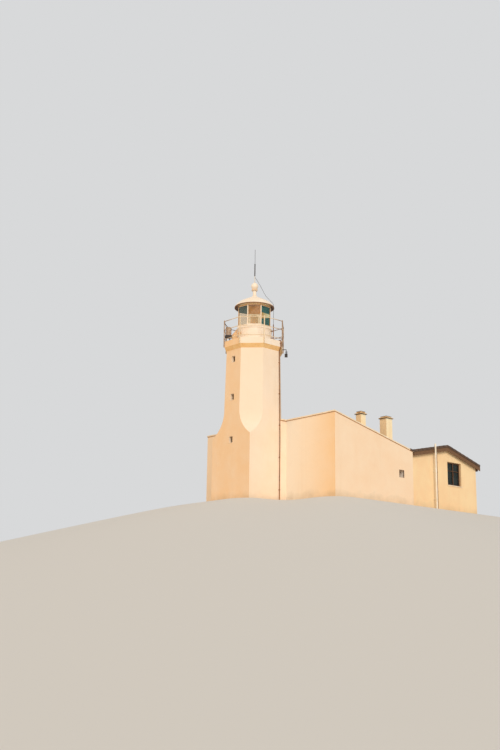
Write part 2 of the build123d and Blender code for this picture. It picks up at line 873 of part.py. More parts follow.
# Floodlight hung from an arm on the landward corner face of the gallery
with BuildPart() as gallery_floodlight:
    flood_place = slab_half_width + flood_reach
    arm_height = cornice_top + flood_arm_drop
    with BuildSketch(upright(45)):
        with Locations((slab_half_width + flood_reach / 2, arm_height)):
            Rectangle(flood_reach, flood_arm_size)
        with Locations((flood_place, arm_height + flood_arm_size / 2)):
            Rectangle(flood_arm_size, flood_hang + flood_arm_size, align=(Align.CENTER, Align.MAX))
    extrude(amount=flood_arm_size / 2, both=True)
    with BuildSketch(upright(45)):
        with Locations((flood_place, arm_height - flood_arm_size / 2 - flood_hang)):
            Rectangle(flood_width, flood_height, align=(Align.CENTER, Align.MAX))
    extrude(amount=flood_width / 2, both=True)
gallery_floodlight.part.label = "gallery_floodlight"
export_step(gallery_floodlight.part, "parts/gallery_floodlight.step")

# Locker on the gallery floor, against the seaward left of the drum
with BuildPart() as gallery_locker:
    locker_back = drum_radius - locker_sunk
    locker_reach = lamp_distance - lamp_plate_radius - locker_lamp_gap
    locker_front_top = gallery_top + locker_front_height
    with BuildSketch(upright(locker_angle)):
        with BuildLine():
            Polyline(
                (locker_back, gallery_top),
                (locker_reach, gallery_top),
                (locker_reach, locker_front_top),
                (drum_radius, drum_top),
                (locker_back, drum_top),
                close=True,
            )
        make_face()
    extrude(amount=locker_width / 2, both=True)
    with BuildSketch(Plane.XY.offset(gallery_top)):
        Circle(drum_radius)
    extrude(amount=drum_height, mode=Mode.SUBTRACT)
gallery_locker.part.label = "gallery_locker"
export_step(gallery_locker.part, "parts/gallery_locker.step")

# Sea wall of the house, with the leaning tower cut out of its ends
with BuildPart() as sea_walls:
    for side in (1, -1):
        with BuildSketch(Plane.XZ.offset(-base_half_width)):
            with BuildLine():
                Polyline(
                    (side * base_half_width, 0),
                    (side * house_inner_half, 0),
                    (side * house_inner_half, wall_top),
                    (side * shaft_half_width(wall_top), wall_top),
                    (side * base_half_width, base_height),
                    close=True,
                )
            make_face()
        extrude(amount=house_wall)
sea_walls.part.label = "sea_walls"
export_step(sea_walls.part, "parts/sea_walls.step")

# Side walls, falling away from the sea, each with a small window
small_window_y = house_back - small_window_from_back

with BuildPart() as side_walls:
    for side in (1, -1):
        with BuildSketch(Plane.YZ.offset(side * house_inner_half)):
            with BuildLine():
                Polyline(
                    (house_front, 0),
                    (house_back, 0),
                    (house_back, parapet_line(house_back) - coping_thickness),
                    (house_front, parapet_line(house_front) - coping_thickness),
                    close=True,
                )
            make_face()
            with Locations((small_window_y, small_window_centre_height)):
                Rectangle(small_window_width, small_window_height, mode=Mode.SUBTRACT)
        extrude(amount=side * house_wall)
side_walls.part.label = "side_walls"
export_step(side_walls.part, "parts/side_walls.step")

# Back wall of the main room, beside and over the doorway to the wing
back_door_top = floor_thickness + door_height

with BuildPart() as main_back_walls:
    with BuildSketch(Plane.YZ):
        with BuildLine():
            Polyline(
                (house_back - house_wall, 0),
                (house_back, 0),
                (house_back, roof_line(house_back) - roof_thickness),
                (house_back - house_wall, roof_line(house_back - house_wall) - roof_thickness),
                close=True,
            )
        make_face()
    extrude(amount=house_inner_half, both=True)
    with BuildSketch(Plane.XZ.offset(-house_back)):
        Rectangle(back_door_width, 4 * back_door_top)
    extrude(amount=house_wall, mode=Mode.SUBTRACT)
main_back_walls.part.label = "main_back_walls"
export_step(main_back_walls.part, "parts/main_back_walls.step")

with BuildPart() as back_door_lintel:
    with BuildSketch(Plane.YZ):
        with BuildLine():
            Polyline(
                (house_back - house_wall, back_door_top),
                (house_back, back_door_top),
                (house_back, roof_line(house_back) - roof_thickness),
                (house_back - house_wall, roof_line(house_back - house_wall) - roof_thickness),
                close=True,
            )
        make_face()
    extrude(amount=back_door_width / 2, both=True)
back_door_lintel.part.label = "back_door_lintel"
export_step(back_door_lintel.part, "parts/back_door_lintel.step")

# Floors, with the wing's floor carried through the doorway
with BuildPart() as main_floor:
    with BuildSketch():
        with Locations((0, (base_half_width + house_back - house_wall) / 2)):
            Rectangle(2 * house_inner_half, house_depth - 2 * house_wall)
    extrude(amount=floor_thickness)
main_floor.part.label = "main_floor"
export_step(main_floor.part, "parts/main_floor.step")

with BuildPart() as wing_floor:
    with BuildSketch():
        with Locations((0, (house_back + wing_back - wing_wall) / 2)):
            Rectangle(2 * wing_inner_half, wing_back - wing_wall - house_back)
        with Locations((0, house_back)):
            Rectangle(back_door_width, house_wall, align=(Align.CENTER, Align.MAX))
    extrude(amount=floor_thickness)
wing_floor.part.label = "wing_floor"
export_step(wing_floor.part, "parts/wing_floor.step")

# Copings: level towards the sea and round the tower's corners, sloping at the sides
with BuildPart() as sea_coping:
    chamfer_start = base_half_width * tan(radians(edge_angle))
    coping_width = house_wall + 2 * coping_overhang
    corner_start = chamfer_start - coping_overhang
    corner_end = base_half_width + coping_overhang
    with BuildSketch(Plane.XY.offset(wall_top)):
        for side in (1, -1):
            with Locations((side * (chamfer_start + house_inner_half) / 2, house_front + house_wall / 2)):
                Rectangle(house_inner_half - chamfer_start, coping_width)
            with Locations((side * (corner_start + corner_end) / 2, (corner_start + corner_end) / 2)):
                Rectangle(corner_end - corner_start, corner_end - corner_start)
    extrude(amount=coping_thickness)
    with BuildSketch(Plane.XY.offset(base_height)):
        octagon(base_half_width)
    extrude(amount=shaft_height - base_height, taper=lean_angle, mode=Mode.SUBTRACT)
sea_coping.part.label = "sea_coping"
export_step(sea_coping.part, "parts/sea_coping.step")

with BuildPart() as side_copings:
    coping_start = house_front - coping_overhang
    coping_end = house_back + coping_tail
    for side in (1, -1):
        with BuildSketch(Plane.YZ.offset(side * house_inner_half)):
            with BuildLine():
                Polyline(
                    (coping_start, parapet_line(coping_start)),
                    (coping_end, parapet_line(coping_end)),
                    (coping_end, parapet_line(coping_end) - coping_thickness),
                    (coping_start, parapet_line(coping_start) - coping_thickness),
                    close=True,
                )
            make_face()
        extrude(amount=side * (house_wall + coping_overhang))
side_copings.part.label = "side_copings"
export_step(side_copings.part, "parts/side_copings.step")

# Chimneys against the right side wall, each with a slab and a raised hood
chimney_sizes = (
    (
        large_chimney_width, house_front + large_chimney_from_front, large_chimney_top,
        large_cap_size, large_cap_height, large_hood_size, large_hood_gap,
    ),
    (
        small_chimney_width, house_front + small_chimney_from_front, small_chimney_top,
        small_cap_size, small_cap_height, small_hood_size, small_hood_gap,
    ),
)

# House roof, falling from the sea wall to the back wall, with its tiles' rolls cut round the stacks
with BuildPart() as main_roof:
    with BuildSketch(Plane.YZ):
        with BuildLine():
            Polyline(
                (base_half_width, roof_line(base_half_width)),
                (house_back, roof_line(house_back)),
                (house_back, roof_line(house_back) - roof_thickness),
                (base_half_width, roof_line(base_half_width) - roof_thickness),
                close=True,
            )
        make_face()
    extrude(amount=house_inner_half, both=True)
    roll_start = house_back - roll_margin
    roll_plane, roll_length = up_slope(
        (roll_start, roof_line(roll_start)), (base_half_width, roof_line(base_half_width))
    )
    with BuildSketch(roll_plane):
        with roll_places(house_inner_half):
            Trapezoid(roll_foot, roll_height, roll_angle, align=(Align.CENTER, Align.MIN))
    extrude(amount=roll_length)
    for width, start, top, *_ in chimney_sizes:
        add(chimney_stack(width, start, top), mode=Mode.SUBTRACT)
main_roof.part.label = "main_roof"
export_step(main_roof.part, "parts/main_roof.step")

with BuildPart() as chimneys:
    for width, start, top, *_ in chimney_sizes:
        add(chimney_stack(width, start, top))
        with BuildSketch(Plane.XY.offset(top)):
            with Locations((house_inner_half - width / 2, start + width / 2)):
                Rectangle(width - 2 * flue_wall, width - 2 * flue_wall)
        extrude(amount=-top, mode=Mode.SUBTRACT)
chimneys.part.label = "chimneys"
export_step(chimneys.part, "parts/chimneys.step")

with BuildPart() as chimney_caps:
    for width, start, top, cap_size, cap_height, hood_size, hood_gap in chimney_sizes:
        centre = (house_inner_half - width / 2, start + width / 2)
        with BuildSketch(Plane.XY.offset(top)):
            with Locations(centre):
                Rectangle(cap_size, cap_size)
                Rectangle(width - 2 * flue_wall, width - 2 * flue_wall, mode=Mode.SUBTRACT)
        extrude(amount=cap_height)
        with BuildSketch(Plane.XY.offset(top + cap_height)):
            with Locations(centre):
                with GridLocations(hood_size - hood_leg, hood_size - hood_leg, 2, 2):
                    Rectangle(hood_leg, hood_leg)
        extrude(amount=hood_gap)
        with BuildSketch(Plane.XY.offset(top + cap_height + hood_gap)):
            with Locations(centre):
                Rectangle(hood_size, hood_size)
        extrude(amount=hood_thickness)
chimney_caps.part.label = "chimney_caps"
export_step(chimney_caps.part, "parts/chimney_caps.step")

# Wing walls: two gables and a back wall with a door between two windows
wing_window_y = ridge_place + wing_window_past_ridge
wing_window_z = wing_window_top - wing_window_height / 2
back_window_z = back_window_top - wing_window_height / 2

with BuildPart() as wing_gables:
    for side in (1, -1):
        with BuildSketch(Plane.YZ.offset(side * wing_inner_half)):
            with BuildLine():
                Polyline(
                    (house_back, 0),
                    (wing_back, 0),
                    (wing_back, wing_soffit_line(wing_back)),
                    (ridge_place, wing_soffit_line(ridge_place)),
                    (house_back, wing_soffit_line(house_back)),
                    close=True,
                )
            make_face()
            with Locations((wing_window_y, wing_window_z)):
                Rectangle(wing_window_width, wing_window_height, mode=Mode.SUBTRACT)
        extrude(amount=side * wing_wall)
wing_gables.part.label = "wing_gables"
export_step(wing_gables.part, "parts/wing_gables.step")

with BuildPart() as wing_back_wall:
    with BuildSketch(Plane.YZ):
        with BuildLine():
            Polyline(
                (wing_back - wing_wall, 0),
                (wing_back, 0),
                (wing_back, wing_soffit_line(wing_back)),
                (wing_back - wing_wall, wing_soffit_line(wing_back - wing_wall)),
                close=True,
            )
        make_face()
    extrude(amount=wing_inner_half, both=True)
    with BuildSketch(Plane.XZ.offset(-wing_back)):
        with Locations((0, floor_thickness + door_height / 2)):
            Rectangle(wing_door_width, door_height)
        with Locations((0, back_window_z)):
            with GridLocations(back_window_spacing, 0, 2, 1):
                Rectangle(wing_window_width, wing_window_height)
    extrude(amount=wing_wall, mode=Mode.SUBTRACT)
wing_back_wall.part.label = "wing_back_wall"
export_step(wing_back_wall.part, "parts/wing_back_wall.step")

# All windows: the plane of each outer frame face, the window's size and its frame's bar
small_size = (small_window_width, small_window_height, frame_bar)
tall_size = (wing_window_width, wing_window_height, frame_bar)
windows = [(plane, slit_width, slit_height, slit_frame_bar) for plane in slit_planes]
for side in (1, -1):
    small_depth = side * (house_half_length - small_window_reveal)
    small_place = (small_depth, small_window_y, small_window_centre_height)
    gable_place = (side * (wing_outer - window_reveal), wing_window_y, wing_window_z)
    back_place = (side * back_window_spacing / 2, wing_back - window_reveal, back_window_z)
    facing_side = {"x_dir": (0, side, 0), "z_dir": (side, 0, 0)}
    windows.append((Plane(origin=small_place, **facing_side), *small_size))
    windows.append((Plane(origin=gable_place, **facing_side), *tall_size))
    windows.append((Plane(origin=back_place, x_dir=(-1, 0, 0), z_dir=(0, 1, 0)), *tall_size))

with BuildPart() as window_frames:
    for plane, width, height, bar in windows:
        with BuildSketch(plane):
            Rectangle(width, height)
            Rectangle(width - 2 * bar, height - 2 * bar, mode=Mode.SUBTRACT)
        extrude(amount=-frame_depth)
window_frames.part.label = "window_frames"
export_step(window_frames.part, "parts/window_frames.step")

with BuildPart() as window_glass:
    for plane, width, height, bar in windows:
        with BuildSketch(plane.offset(-frame_depth / 2)):
            Rectangle(width - 2 * bar, height - 2 * bar)
        extrude(amount=-glass_thickness)
window_glass.part.label = "window_glass"
export_step(window_glass.part, "parts/window_glass.step")

# The wing's door, fixed shut in its frame
with BuildPart() as wing_door:
    with BuildSketch(Plane.XZ.offset(window_reveal - wing_back)):
        with Locations((0, floor_thickness + door_height / 2)):
            Rectangle(wing_door_width, door_height)
    extrude(amount=frame_depth)
    with BuildSketch(Plane.XZ.offset(window_reveal - wing_back)):
        with Locations((0, floor_thickness)):
            Rectangle(
                wing_door_width - 2 * frame_bar,
                door_height - frame_bar,
                align=(Align.CENTER, Align.MIN),
            )
    extrude(amount=frame_depth - leaf_thickness, mode=Mode.SUBTRACT)
wing_door.part.label = "wing_door"
export_step(wing_door.part, "parts/wing_door.step")

# Wing roof on its gables, its back wall and a plate against the main back wall
wing_eave_start = ridge_place - wing_half_span

for name, eave in (("wing_roof_front", wing_eave_start), ("wing_roof_back", wing_eave_end)):
    with BuildPart() as wing_roof:
        with BuildSketch(Plane.YZ):
            with BuildLine():
                Polyline(
                    (eave, wing_roof_line(eave)),
                    (ridge_place, wing_roof_line(ridge_place)),
                    (ridge_place, wing_soffit_line(ridge_place)),
                    (eave, wing_soffit_line(eave)),
                    close=True,
                )
            make_face()
        extrude(amount=house_half_length, both=True)
        side = 1 if eave > ridge_place else -1
        roll_ends = sorted((ridge_place + side * roll_to_ridge, eave - side * roll_margin), reverse=True)
        roll_plane, roll_length = up_slope(*((y, wing_roof_line(y)) for y in roll_ends))
        with BuildSketch(roll_plane):
            with roll_places(house_half_length):
                Trapezoid(roll_foot, roll_height, roll_angle, align=(Align.CENTER, Align.MIN))
        extrude(amount=roll_length)
    wing_roof.part.label = name
    export_step(wing_roof.part, f"parts/{name}.step")

with BuildPart() as wing_ridge:
    with BuildSketch(Plane.YZ):
        with Locations((ridge_place, wing_ridge_height - ridge_sink)):
            Circle(ridge_radius)
            Circle(ridge_radius - ridge_skin, mode=Mode.SUBTRACT)
        with BuildLine():
            Polyline(
                (wing_eave_start, 0),
                (wing_eave_start, wing_roof_line(wing_eave_start)),
                (ridge_place, wing_ridge_height),
                (wing_eave_end, wing_roof_line(wing_eave_end)),
                (wing_eave_end, 0),
                close=True,
            )
        make_face(mode=Mode.SUBTRACT)
    extrude(amount=house_half_length, both=True)
wing_ridge.part.label = "wing_ridge"
export_step(wing_ridge.part, "parts/wing_ridge.step")

gutter_top = wing_soffit_line(wing_eave_start)

with BuildPart() as wing_roof_plate:
    with BuildSketch(Plane.YZ):
        with BuildLine():
            Polyline(
                (house_back, gutter_top - gutter_depth),
                (house_back, gutter_top - gutter_depth - plate_height),
                (house_back + plate_width, gutter_top - gutter_depth - plate_height),
                (house_back + plate_width, wing_soffit_line(house_back + plate_width)),
                (wing_eave_start, gutter_top),
                (wing_eave_start, gutter_top - gutter_depth),
                close=True,
            )
        make_face()
    extrude(amount=wing_inner_half, both=True)
wing_roof_plate.part.label = "wing_roof_plate"
export_step(wing_roof_plate.part, "parts/wing_roof_plate.step")

with BuildPart() as valley_gutter:
    with BuildSketch(Plane.YZ):
        gutter_corner = (house_back, gutter_top - gutter_depth)
        with Locations(gutter_corner):
            Rectangle(valley_gap, gutter_depth, align=(Align.MIN, Align.MIN))
        with Locations((house_back + gutter_skin, gutter_top - gutter_depth + gutter_skin)):
            Rectangle(
                valley_gap - 2 * gutter_skin,
                gutter_depth,
                align=(Align.MIN, Align.MIN),
                mode=Mode.SUBTRACT,
            )
    extrude(amount=wing_inner_half, both=True)
valley_gutter.part.label = "valley_gutter"
export_step(valley_gutter.part, "parts/valley_gutter.step")

# Verge boards with their soffits, two at each gable, and the boards at the back eave
with BuildPart() as verge_boards:
    for side in (1, -1):
        for slope in (1, -1):
            start = ridge_place + slope * mitre_gap
            end = ridge_place + slope * wing_half_span
            for near, thickness, depth in (
                (house_half_length - board_thickness, board_thickness, verge_height),
                (wing_outer, wing_setback, soffit_thickness),
            ):
                with BuildSketch(Plane.YZ.offset(side * near)):
                    with BuildLine():
                        Polyline(
                            (start, wing_soffit_line(start)),
                            (end, wing_soffit_line(end)),
                            (end, wing_soffit_line(end) - depth),
                            (start, wing_soffit_line(start) - depth),
                            close=True,
                        )
                    make_face()
                extrude(amount=side * thickness)
    with BuildSketch(Plane.YZ):
        with Locations((house_front, 0)):
            Rectangle(house_depth, parapet_height, align=(Align.MIN, Align.MIN))
        with BuildLine():
            Polyline(
                (house_back, 0),
                (house_back + coping_tail, 0),
                (house_back + coping_tail, parapet_height),
                (house_back, parapet_height),
                close=True,
            )
        make_face()
    extrude(amount=house_half_length, both=True, mode=Mode.SUBTRACT)
verge_boards.part.label = "verge_boards"
export_step(verge_boards.part, "parts/verge_boards.step")

with BuildPart() as back_eave_board:
    with BuildSketch(Plane.YZ):
        with BuildLine():
            Polyline(
                (wing_back, wing_soffit_line(wing_back)),
                (wing_eave_end, wing_soffit_line(wing_eave_end)),
                (wing_eave_end, wing_soffit_line(wing_eave_end) - verge_height),
                (wing_eave_end - board_thickness, wing_soffit_line(wing_eave_end) - verge_height),
                (wing_eave_end - board_thickness, wing_soffit_line(wing_eave_end) - soffit_thickness),
                (wing_back, wing_soffit_line(wing_back) - soffit_thickness),
                close=True,
            )
        make_face()
    extrude(amount=wing_outer, both=True)
back_eave_board.part.label = "back_eave_board"
export_step(back_eave_board.part, "parts/back_eave_board.step")

# Vent pipe outside the right gable, held off the wall by two brackets
with BuildPart() as vent_pipe:
    pipe_place = (house_half_length + pipe_gap + pipe_radius, ridge_place - pipe_before_ridge)
    with BuildSketch():
        with Locations(pipe_place):
            Circle(pipe_radius)
    extrude(amount=pipe_top)
    for height in bracket_heights:
        with BuildSketch(Plane.XY.offset(height)):
            with Locations(pipe_place):
                Rectangle(
                    pipe_place[0] - wing_outer, bracket_size, align=(Align.MAX, Align.CENTER)
                )
        extrude(amount=bracket_size)
    with BuildSketch():
        with Locations(pipe_place):
            Circle(pipe_radius - pipe_wall)
    extrude(amount=pipe_top, mode=Mode.SUBTRACT)
vent_pipe.part.label = "vent_pipe"
export_step(vent_pipe.part, "parts/vent_pipe.step")
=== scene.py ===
import math
import random

import bmesh
import bpy
from mathutils import Matrix, Vector


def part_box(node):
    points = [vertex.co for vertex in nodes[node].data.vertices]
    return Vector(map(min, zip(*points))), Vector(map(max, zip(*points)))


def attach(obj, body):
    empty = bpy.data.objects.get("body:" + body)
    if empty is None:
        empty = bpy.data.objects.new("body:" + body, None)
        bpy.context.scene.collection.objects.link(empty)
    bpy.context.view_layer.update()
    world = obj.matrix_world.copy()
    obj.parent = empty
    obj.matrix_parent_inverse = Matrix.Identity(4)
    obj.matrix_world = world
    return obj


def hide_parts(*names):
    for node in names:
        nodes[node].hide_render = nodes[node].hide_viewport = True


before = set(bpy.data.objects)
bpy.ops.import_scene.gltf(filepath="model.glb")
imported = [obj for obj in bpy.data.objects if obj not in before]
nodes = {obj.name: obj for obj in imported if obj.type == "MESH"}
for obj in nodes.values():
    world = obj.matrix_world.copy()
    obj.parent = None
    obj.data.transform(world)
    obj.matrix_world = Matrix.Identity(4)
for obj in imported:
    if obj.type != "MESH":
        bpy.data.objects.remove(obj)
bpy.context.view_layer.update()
random.seed(7)

# Camera, as in the photograph: distance and height in metres, angles in degrees
camera_distance = 50.0
camera_height = -6.026
camera_azimuth = 48.943
camera_pitch = 13.947
camera_yaw = -0.198
camera_roll = 0.827
camera_lens = 50.016
camera_sensor = 36.0
camera_reach = 1000

# Ground under the building: a flat top that falls away on all sides
ground_margin = 0.25
ground_slope = 0.27
ground_rounding = 0.35
ground_blend = 1.2
ground_reach = 160.0
ground_spokes = 240
ground_step = 0.12
ground_fine_rings = 110
ground_growth = 1.06

# Light: angles in degrees, the suns' azimuths turned from the sea side towards +X
world_light = 0.49
backdrop_colour = "d8d9da"
ground_colour = "d6d3cc"
key_sun = {"colour": "fff5ea", "strength": 1.72, "azimuth": 64, "height": 28, "softness": 30}
side_sun = {"colour": "ffdcb4", "strength": 0.68, "azimuth": -25, "height": 15, "softness": 60}

# Roofs: sizes that the tiles share with the solids, in metres
roof_drop = 0.27
wing_roof_thickness = 0.12
tile_width = 0.24
tile_exposure = 0.33
tile_lift = 0.02
tile_bed = 0.004
tile_roll = 0.026
tile_jitter = 0.003
back_eave_inset = 0.05
verge_tile_reach = 0.026
verge_tile_width = 0.11
verge_tile_drop = 0.105
verge_tile_thickness = 0.016
ridge_radius = 0.125
ridge_sink = 0.065
ridge_skin = 0.014
ridge_length = 0.40
ridge_steps = 14

# Lantern and gallery
lantern_turn = 4
lantern_sides = 8
side_turn = 360 / lantern_sides
half_side = side_turn / 2
glazing_apothem = 0.8
lantern_post = 0.05
# Where the painted reflections and painted shade on the lantern's panes begin: heights in metres, with
# their slopes along a pane
reflection_height = 9.30
left_reflection_height = 9.395
left_reflection_fall = -0.267
right_reflection_height = 9.42
low_reflection_height = 9.17
low_reflection_rise = 0.229
pane_half_turn = 0.385
# Directions of the lantern's middle, left and right panes to the sea
middle_pane_angle = math.radians(lantern_turn - 45)
left_pane_angle = math.radians(lantern_turn - 90)
right_pane_angle = math.radians(lantern_turn)
pale_rod_top = 11.54
lamp_cap_low = 8.625
lamp_cap_high = 8.69
dome_shoulder = (0.700, 0.275)
dome_crown = (0.340, 0.460)
dome_flare = (0.180, 0.530)
dome_top = (0.085, 0.624)
door_angle = 90
vent_angle = -89
post_distance = 1.5552
rail_radius = 0.017
rail_heights = (0.113, 0.593, 1.033)
locker_angle = -128
locker_reach = 1.10
locker_width = 0.40
locker_front_height = 0.40
floodlight_angle = 45

# Tower, house and wing
slit_heights = (2.975, 5.070, 6.970)
slit_width = 0.24
slit_height = 0.31
slit_pane = 0.166
slit_frame = 0.026
base_height = 3.135
shaft_height = 7.447
base_half_width = 1.387
wall_corner = 4.677
shaft_lean = 0.086
parapet_height = 4.07
low_parapet_height = 2.85
coping_thickness = 0.06
# The thin brown line under the copings, partly painted shade and partly dirt
dark_line_height = 0.024
dark_line_reach = 0.018
dark_line_lap = 0.01
small_window = (0.35, 0.37)
small_window_y = 5.525
small_window_z = 1.595
wing_window = (1.1, 1.2)
wing_window_y = 9.79
wing_window_z = 2.04
back_window_x = 2.4
back_window_z = 1.67
window_reveal = 0.11
saddle_length = 0.30
saddle_width = 0.16
saddle_skin = 0.012
large_chimney = {
    "place": (4.012, 5.202), "cap": 0.51, "cap_bottom": 4.340, "hood": 0.38, "hood_top": 4.455,
}
small_chimney = {
    "place": (4.062, 3.342), "cap": 0.42, "cap_bottom": 4.285, "hood": 0.30, "hood_top": 4.425,
}
# The dark strips round the chimneys' caps and hoods, partly painted shade and partly soot
dark_strip_thickness = 0.004
dark_strip_height = 0.020
pipe_radius = 0.045
gable_cable_gap = 0.335
gable_cable_top = 2.9


def tint(text):
    """A colour from its six usual digits, as Blender wants it."""
    parts = [int(text[start:start + 2], 16) / 255 for start in (0, 2, 4)]
    return [part / 12.92 if part <= 0.04045 else ((part + 0.055) / 1.055) ** 2.4 for part in parts] + [1]


class Nodes:
    """The shader nodes of a material or the world."""

    def __init__(self, tree):
        self.tree = tree

    def feed(self, socket, value):
        """Give a socket another node's output, or a plain value."""
        if isinstance(value, bpy.types.NodeSocket):
            self.tree.links.new(value, socket)
        else:
            socket.default_value = value

    def node(self, kind, *values, **settings):
        """A new node, with values or other nodes' outputs for its first inputs."""
        made = self.tree.nodes.new("ShaderNode" + kind)
        for key, value in settings.items():
            setattr(made, key, value)
        for socket, value in zip(made.inputs, values):
            self.feed(socket, value)
        return made

    def maths(self, operation, *values):
        """What an operation makes of one or two values."""
        return self.node("Math", *values, operation=operation).outputs[0]


class Paint(Nodes):
    """A procedural material: one shader and the nodes that vary it over the surface."""

    def __init__(self, name, roughness, metallic=0.0):
        self.material = bpy.data.materials.new(name)
        self.material.use_nodes = True
        super().__init__(self.material.node_tree)
        self.shader = self.tree.nodes["Principled BSDF"]
        self.shader.inputs["Roughness"].default_value = roughness
        self.shader.inputs["Metallic"].default_value = metallic
        self.place = self.node("TexCoord").outputs["Object"]

    def noise(self, scale, detail=4.0, rough=0.55, stretch=(1, 1, 1)):
        """Cloudy noise, with its pattern pressed together along each axis by stretch."""
        mapping = self.node("Mapping", self.place)
        mapping.inputs["Scale"].default_value = stretch
        made = self.node("TexNoise", mapping.outputs[0])
        for name, value in (("Scale", scale), ("Detail", detail), ("Roughness", rough)):
            made.inputs[name].default_value = value
        return made.outputs["Fac"]

    def axis(self, letter, vector=None):
        """One coordinate of the place, or of another vector."""
        return self.node("SeparateXYZ", self.place if vector is None else vector).outputs[letter]

    def angle(self):
        """The place's direction from the tower's axis, in radians from +X."""
        return self.maths("ARCTAN2", self.axis("Y"), self.axis("X"))

    def turn_from(self, middle):
        """How far the place's direction lies from another."""
        return self.maths("ABSOLUTE", self.maths("SUBTRACT", self.angle(), middle))

    def between(self, value, low, high, first=0.0, last=1.0):
        """How far a value lies from low to high, as a number from first to last."""
        return self.node("MapRange", value, low, high, first, last).outputs[0]

    def past(self, value, edge, blur):
        """A share that grows from 0 to 1 where a value passes an edge."""
        return self.between(value, edge - blur, edge + blur)

    def patches(self, scale, low, high, last=1.0, detail=6.0, rough=0.7, stretch=(1, 1, 1)):
        """Uneven patches, as a share of at most last."""
        return self.between(self.noise(scale, detail, rough, stretch), low, high, 0.0, last)

    def mix(self, factor, first, second):
        """A colour between two, each a text of six digits or another node's output."""
        made = self.node("Mix", factor, data_type="RGBA")
        colours = [socket for socket in made.inputs if socket.type == "RGBA"]
        for socket, given in zip(colours, (first, second)):
            self.feed(socket, tint(given) if isinstance(given, str) else given)
        return next(socket for socket in made.outputs if socket.type == "RGBA")

    def cells(self, size):
        """A random value for each block of the given size."""
        snapped = self.node("VectorMath", self.place, size, operation="SNAP")
        return self.node("TexWhiteNoise", snapped.outputs[0]).outputs["Value"]

    def grooves(self, letter, pitch, width):
        """A narrow line each time the place along an axis passes a pitch."""
        part = self.maths("FRACT", self.maths("DIVIDE", self.axis(letter), pitch))
        near = self.maths("ABSOLUTE", self.maths("SUBTRACT", part, 0.5))
        return self.between(near, 0.5 - width / pitch, 0.5)

    def colour(self, value):
        """Set the colour."""
        self.feed(self.shader.inputs["Base Color"], value)

    def base(self):
        """The colour so far."""
        return self.shader.inputs["Base Color"].links[0].from_socket

    def over(self, share, value):
        """Lay another colour over the colour so far."""
        self.colour(self.mix(share, self.base(), value))

    def roughen(self, value):
        """Set the roughness."""
        self.feed(self.shader.inputs["Roughness"], value)

    def bump(self, height, distance):
        """Add relief to the relief so far."""
        made = self.node("Bump")
        made.inputs["Distance"].default_value = distance
        self.feed(made.inputs["Height"], height)
        if self.shader.inputs["Normal"].is_linked:
            self.feed(made.inputs["Normal"], self.shader.inputs["Normal"].links[0].from_socket)
        self.feed(self.shader.inputs["Normal"], made.outputs["Normal"])


def plaster(name, light, shade, stain, sea_light, tower_bounce_light=None):
    """Lime-washed render: cloudy patches, rain streaks, a dirty foot and painted warm light on the faces
    to the sea.
    """
    paint = Paint(name, 0.86)
    normal = paint.node("NewGeometry").outputs["Normal"]
    # Painted light: faces turned to the sea (-Y) take a warmer, more golden colour, for the low warm light
    # on them
    golden = paint.between(paint.axis("Y", normal), -0.75, -0.95)
    across = paint.maths("SUBTRACT", paint.axis("X", normal), paint.axis("Y", normal))
    sea_face_light = paint.mix(paint.patches(1.1, 0.4, 0.7, 0.35, detail=5.0, rough=0.6), sea_light, shade)
    # Painted light on the house's sea-facing faces: paler near the tower for the light it throws back, a
    # lighter warm colour left of the tower where its shadow falls, and near white past Y 5.1 on the small
    # windows' sunlit reveals
    if tower_bounce_light:
        away = paint.between(paint.axis("X"), base_half_width, wall_corner)
        sea_face_light = paint.mix(away, tower_bounce_light, sea_face_light)
        sea_face_light = paint.mix(paint.between(paint.axis("X"), 0.0, -0.1), sea_face_light, "ffe0ba")
        sea_face_light = paint.mix(paint.between(paint.axis("Y"), 5.0, 5.1), sea_face_light, "fffaf0")
    paint.colour(paint.mix(paint.patches(0.8, 0.36, 0.70, detail=5.0, rough=0.6), light, shade))
    # Painted shade: faces turned to +X and -Y at once (the near chamfers) are a little darker
    paint.over(paint.between(across, 1.36, 1.40, 0.0, 0.5), shade)
    paint.over(golden, sea_face_light)
    paint.over(paint.patches(1.0, 0.55, 0.85, 0.3, rough=0.62, stretch=(2.6, 2.6, 0.17)), stain)
    paint.over(paint.patches(9.0, 0.66, 0.76, 0.25), stain)
    foot = paint.maths("ADD", paint.axis("Z"), paint.noise(1.6, 5.0))
    paint.over(paint.between(foot, 0.55, 0.95, 0.35, 0.0), "b39a78")
    paint.over(paint.patches(2.3, 0.5, 0.8, 0.2, rough=0.65, stretch=(1, 1, 0.5)), light)
    paint.roughen(paint.between(paint.noise(5.0), 0.3, 0.7, 0.78, 0.95))
    paint.bump(paint.noise(2.2, 5.0, 0.5), 0.012)
    paint.bump(paint.noise(38.0, 4.0, 0.6), 0.0022)
    return paint


def concrete(name, light, shade, stain, scale=3.0):
    """Bare or thinly washed cement with pits and stains."""
    paint = Paint(name, 0.88)
    paint.colour(paint.mix(paint.patches(scale, 0.35, 0.7, rough=0.6), light, shade))
    paint.over(paint.patches(scale * 3, 0.56, 0.72, 0.6), stain)
    paint.bump(paint.noise(scale * 12, 5.0, 0.65), 0.003)
    return paint


def painted_iron(name, coat, shade, rust, wear=0.62, roughness=0.45):
    """Brushed paint on iron, with rust that breaks through in spots and runs."""
    paint = Paint(name, roughness)
    paint.colour(paint.mix(paint.patches(3.0, 0.35, 0.7, detail=5.0, rough=0.55), coat, shade))
    paint.over(paint.patches(1.0, wear, wear + 0.12, 0.6, stretch=(16, 16, 1.4)), rust)
    spots = paint.patches(13.0, wear + 0.02, wear + 0.10, rough=0.75)
    paint.over(spots, rust)
    paint.roughen(paint.between(spots, 0.0, 1.0, roughness, 0.85))
    paint.bump(paint.noise(70.0, 4.0), 0.0008)
    paint.bump(spots, 0.0015)
    return paint


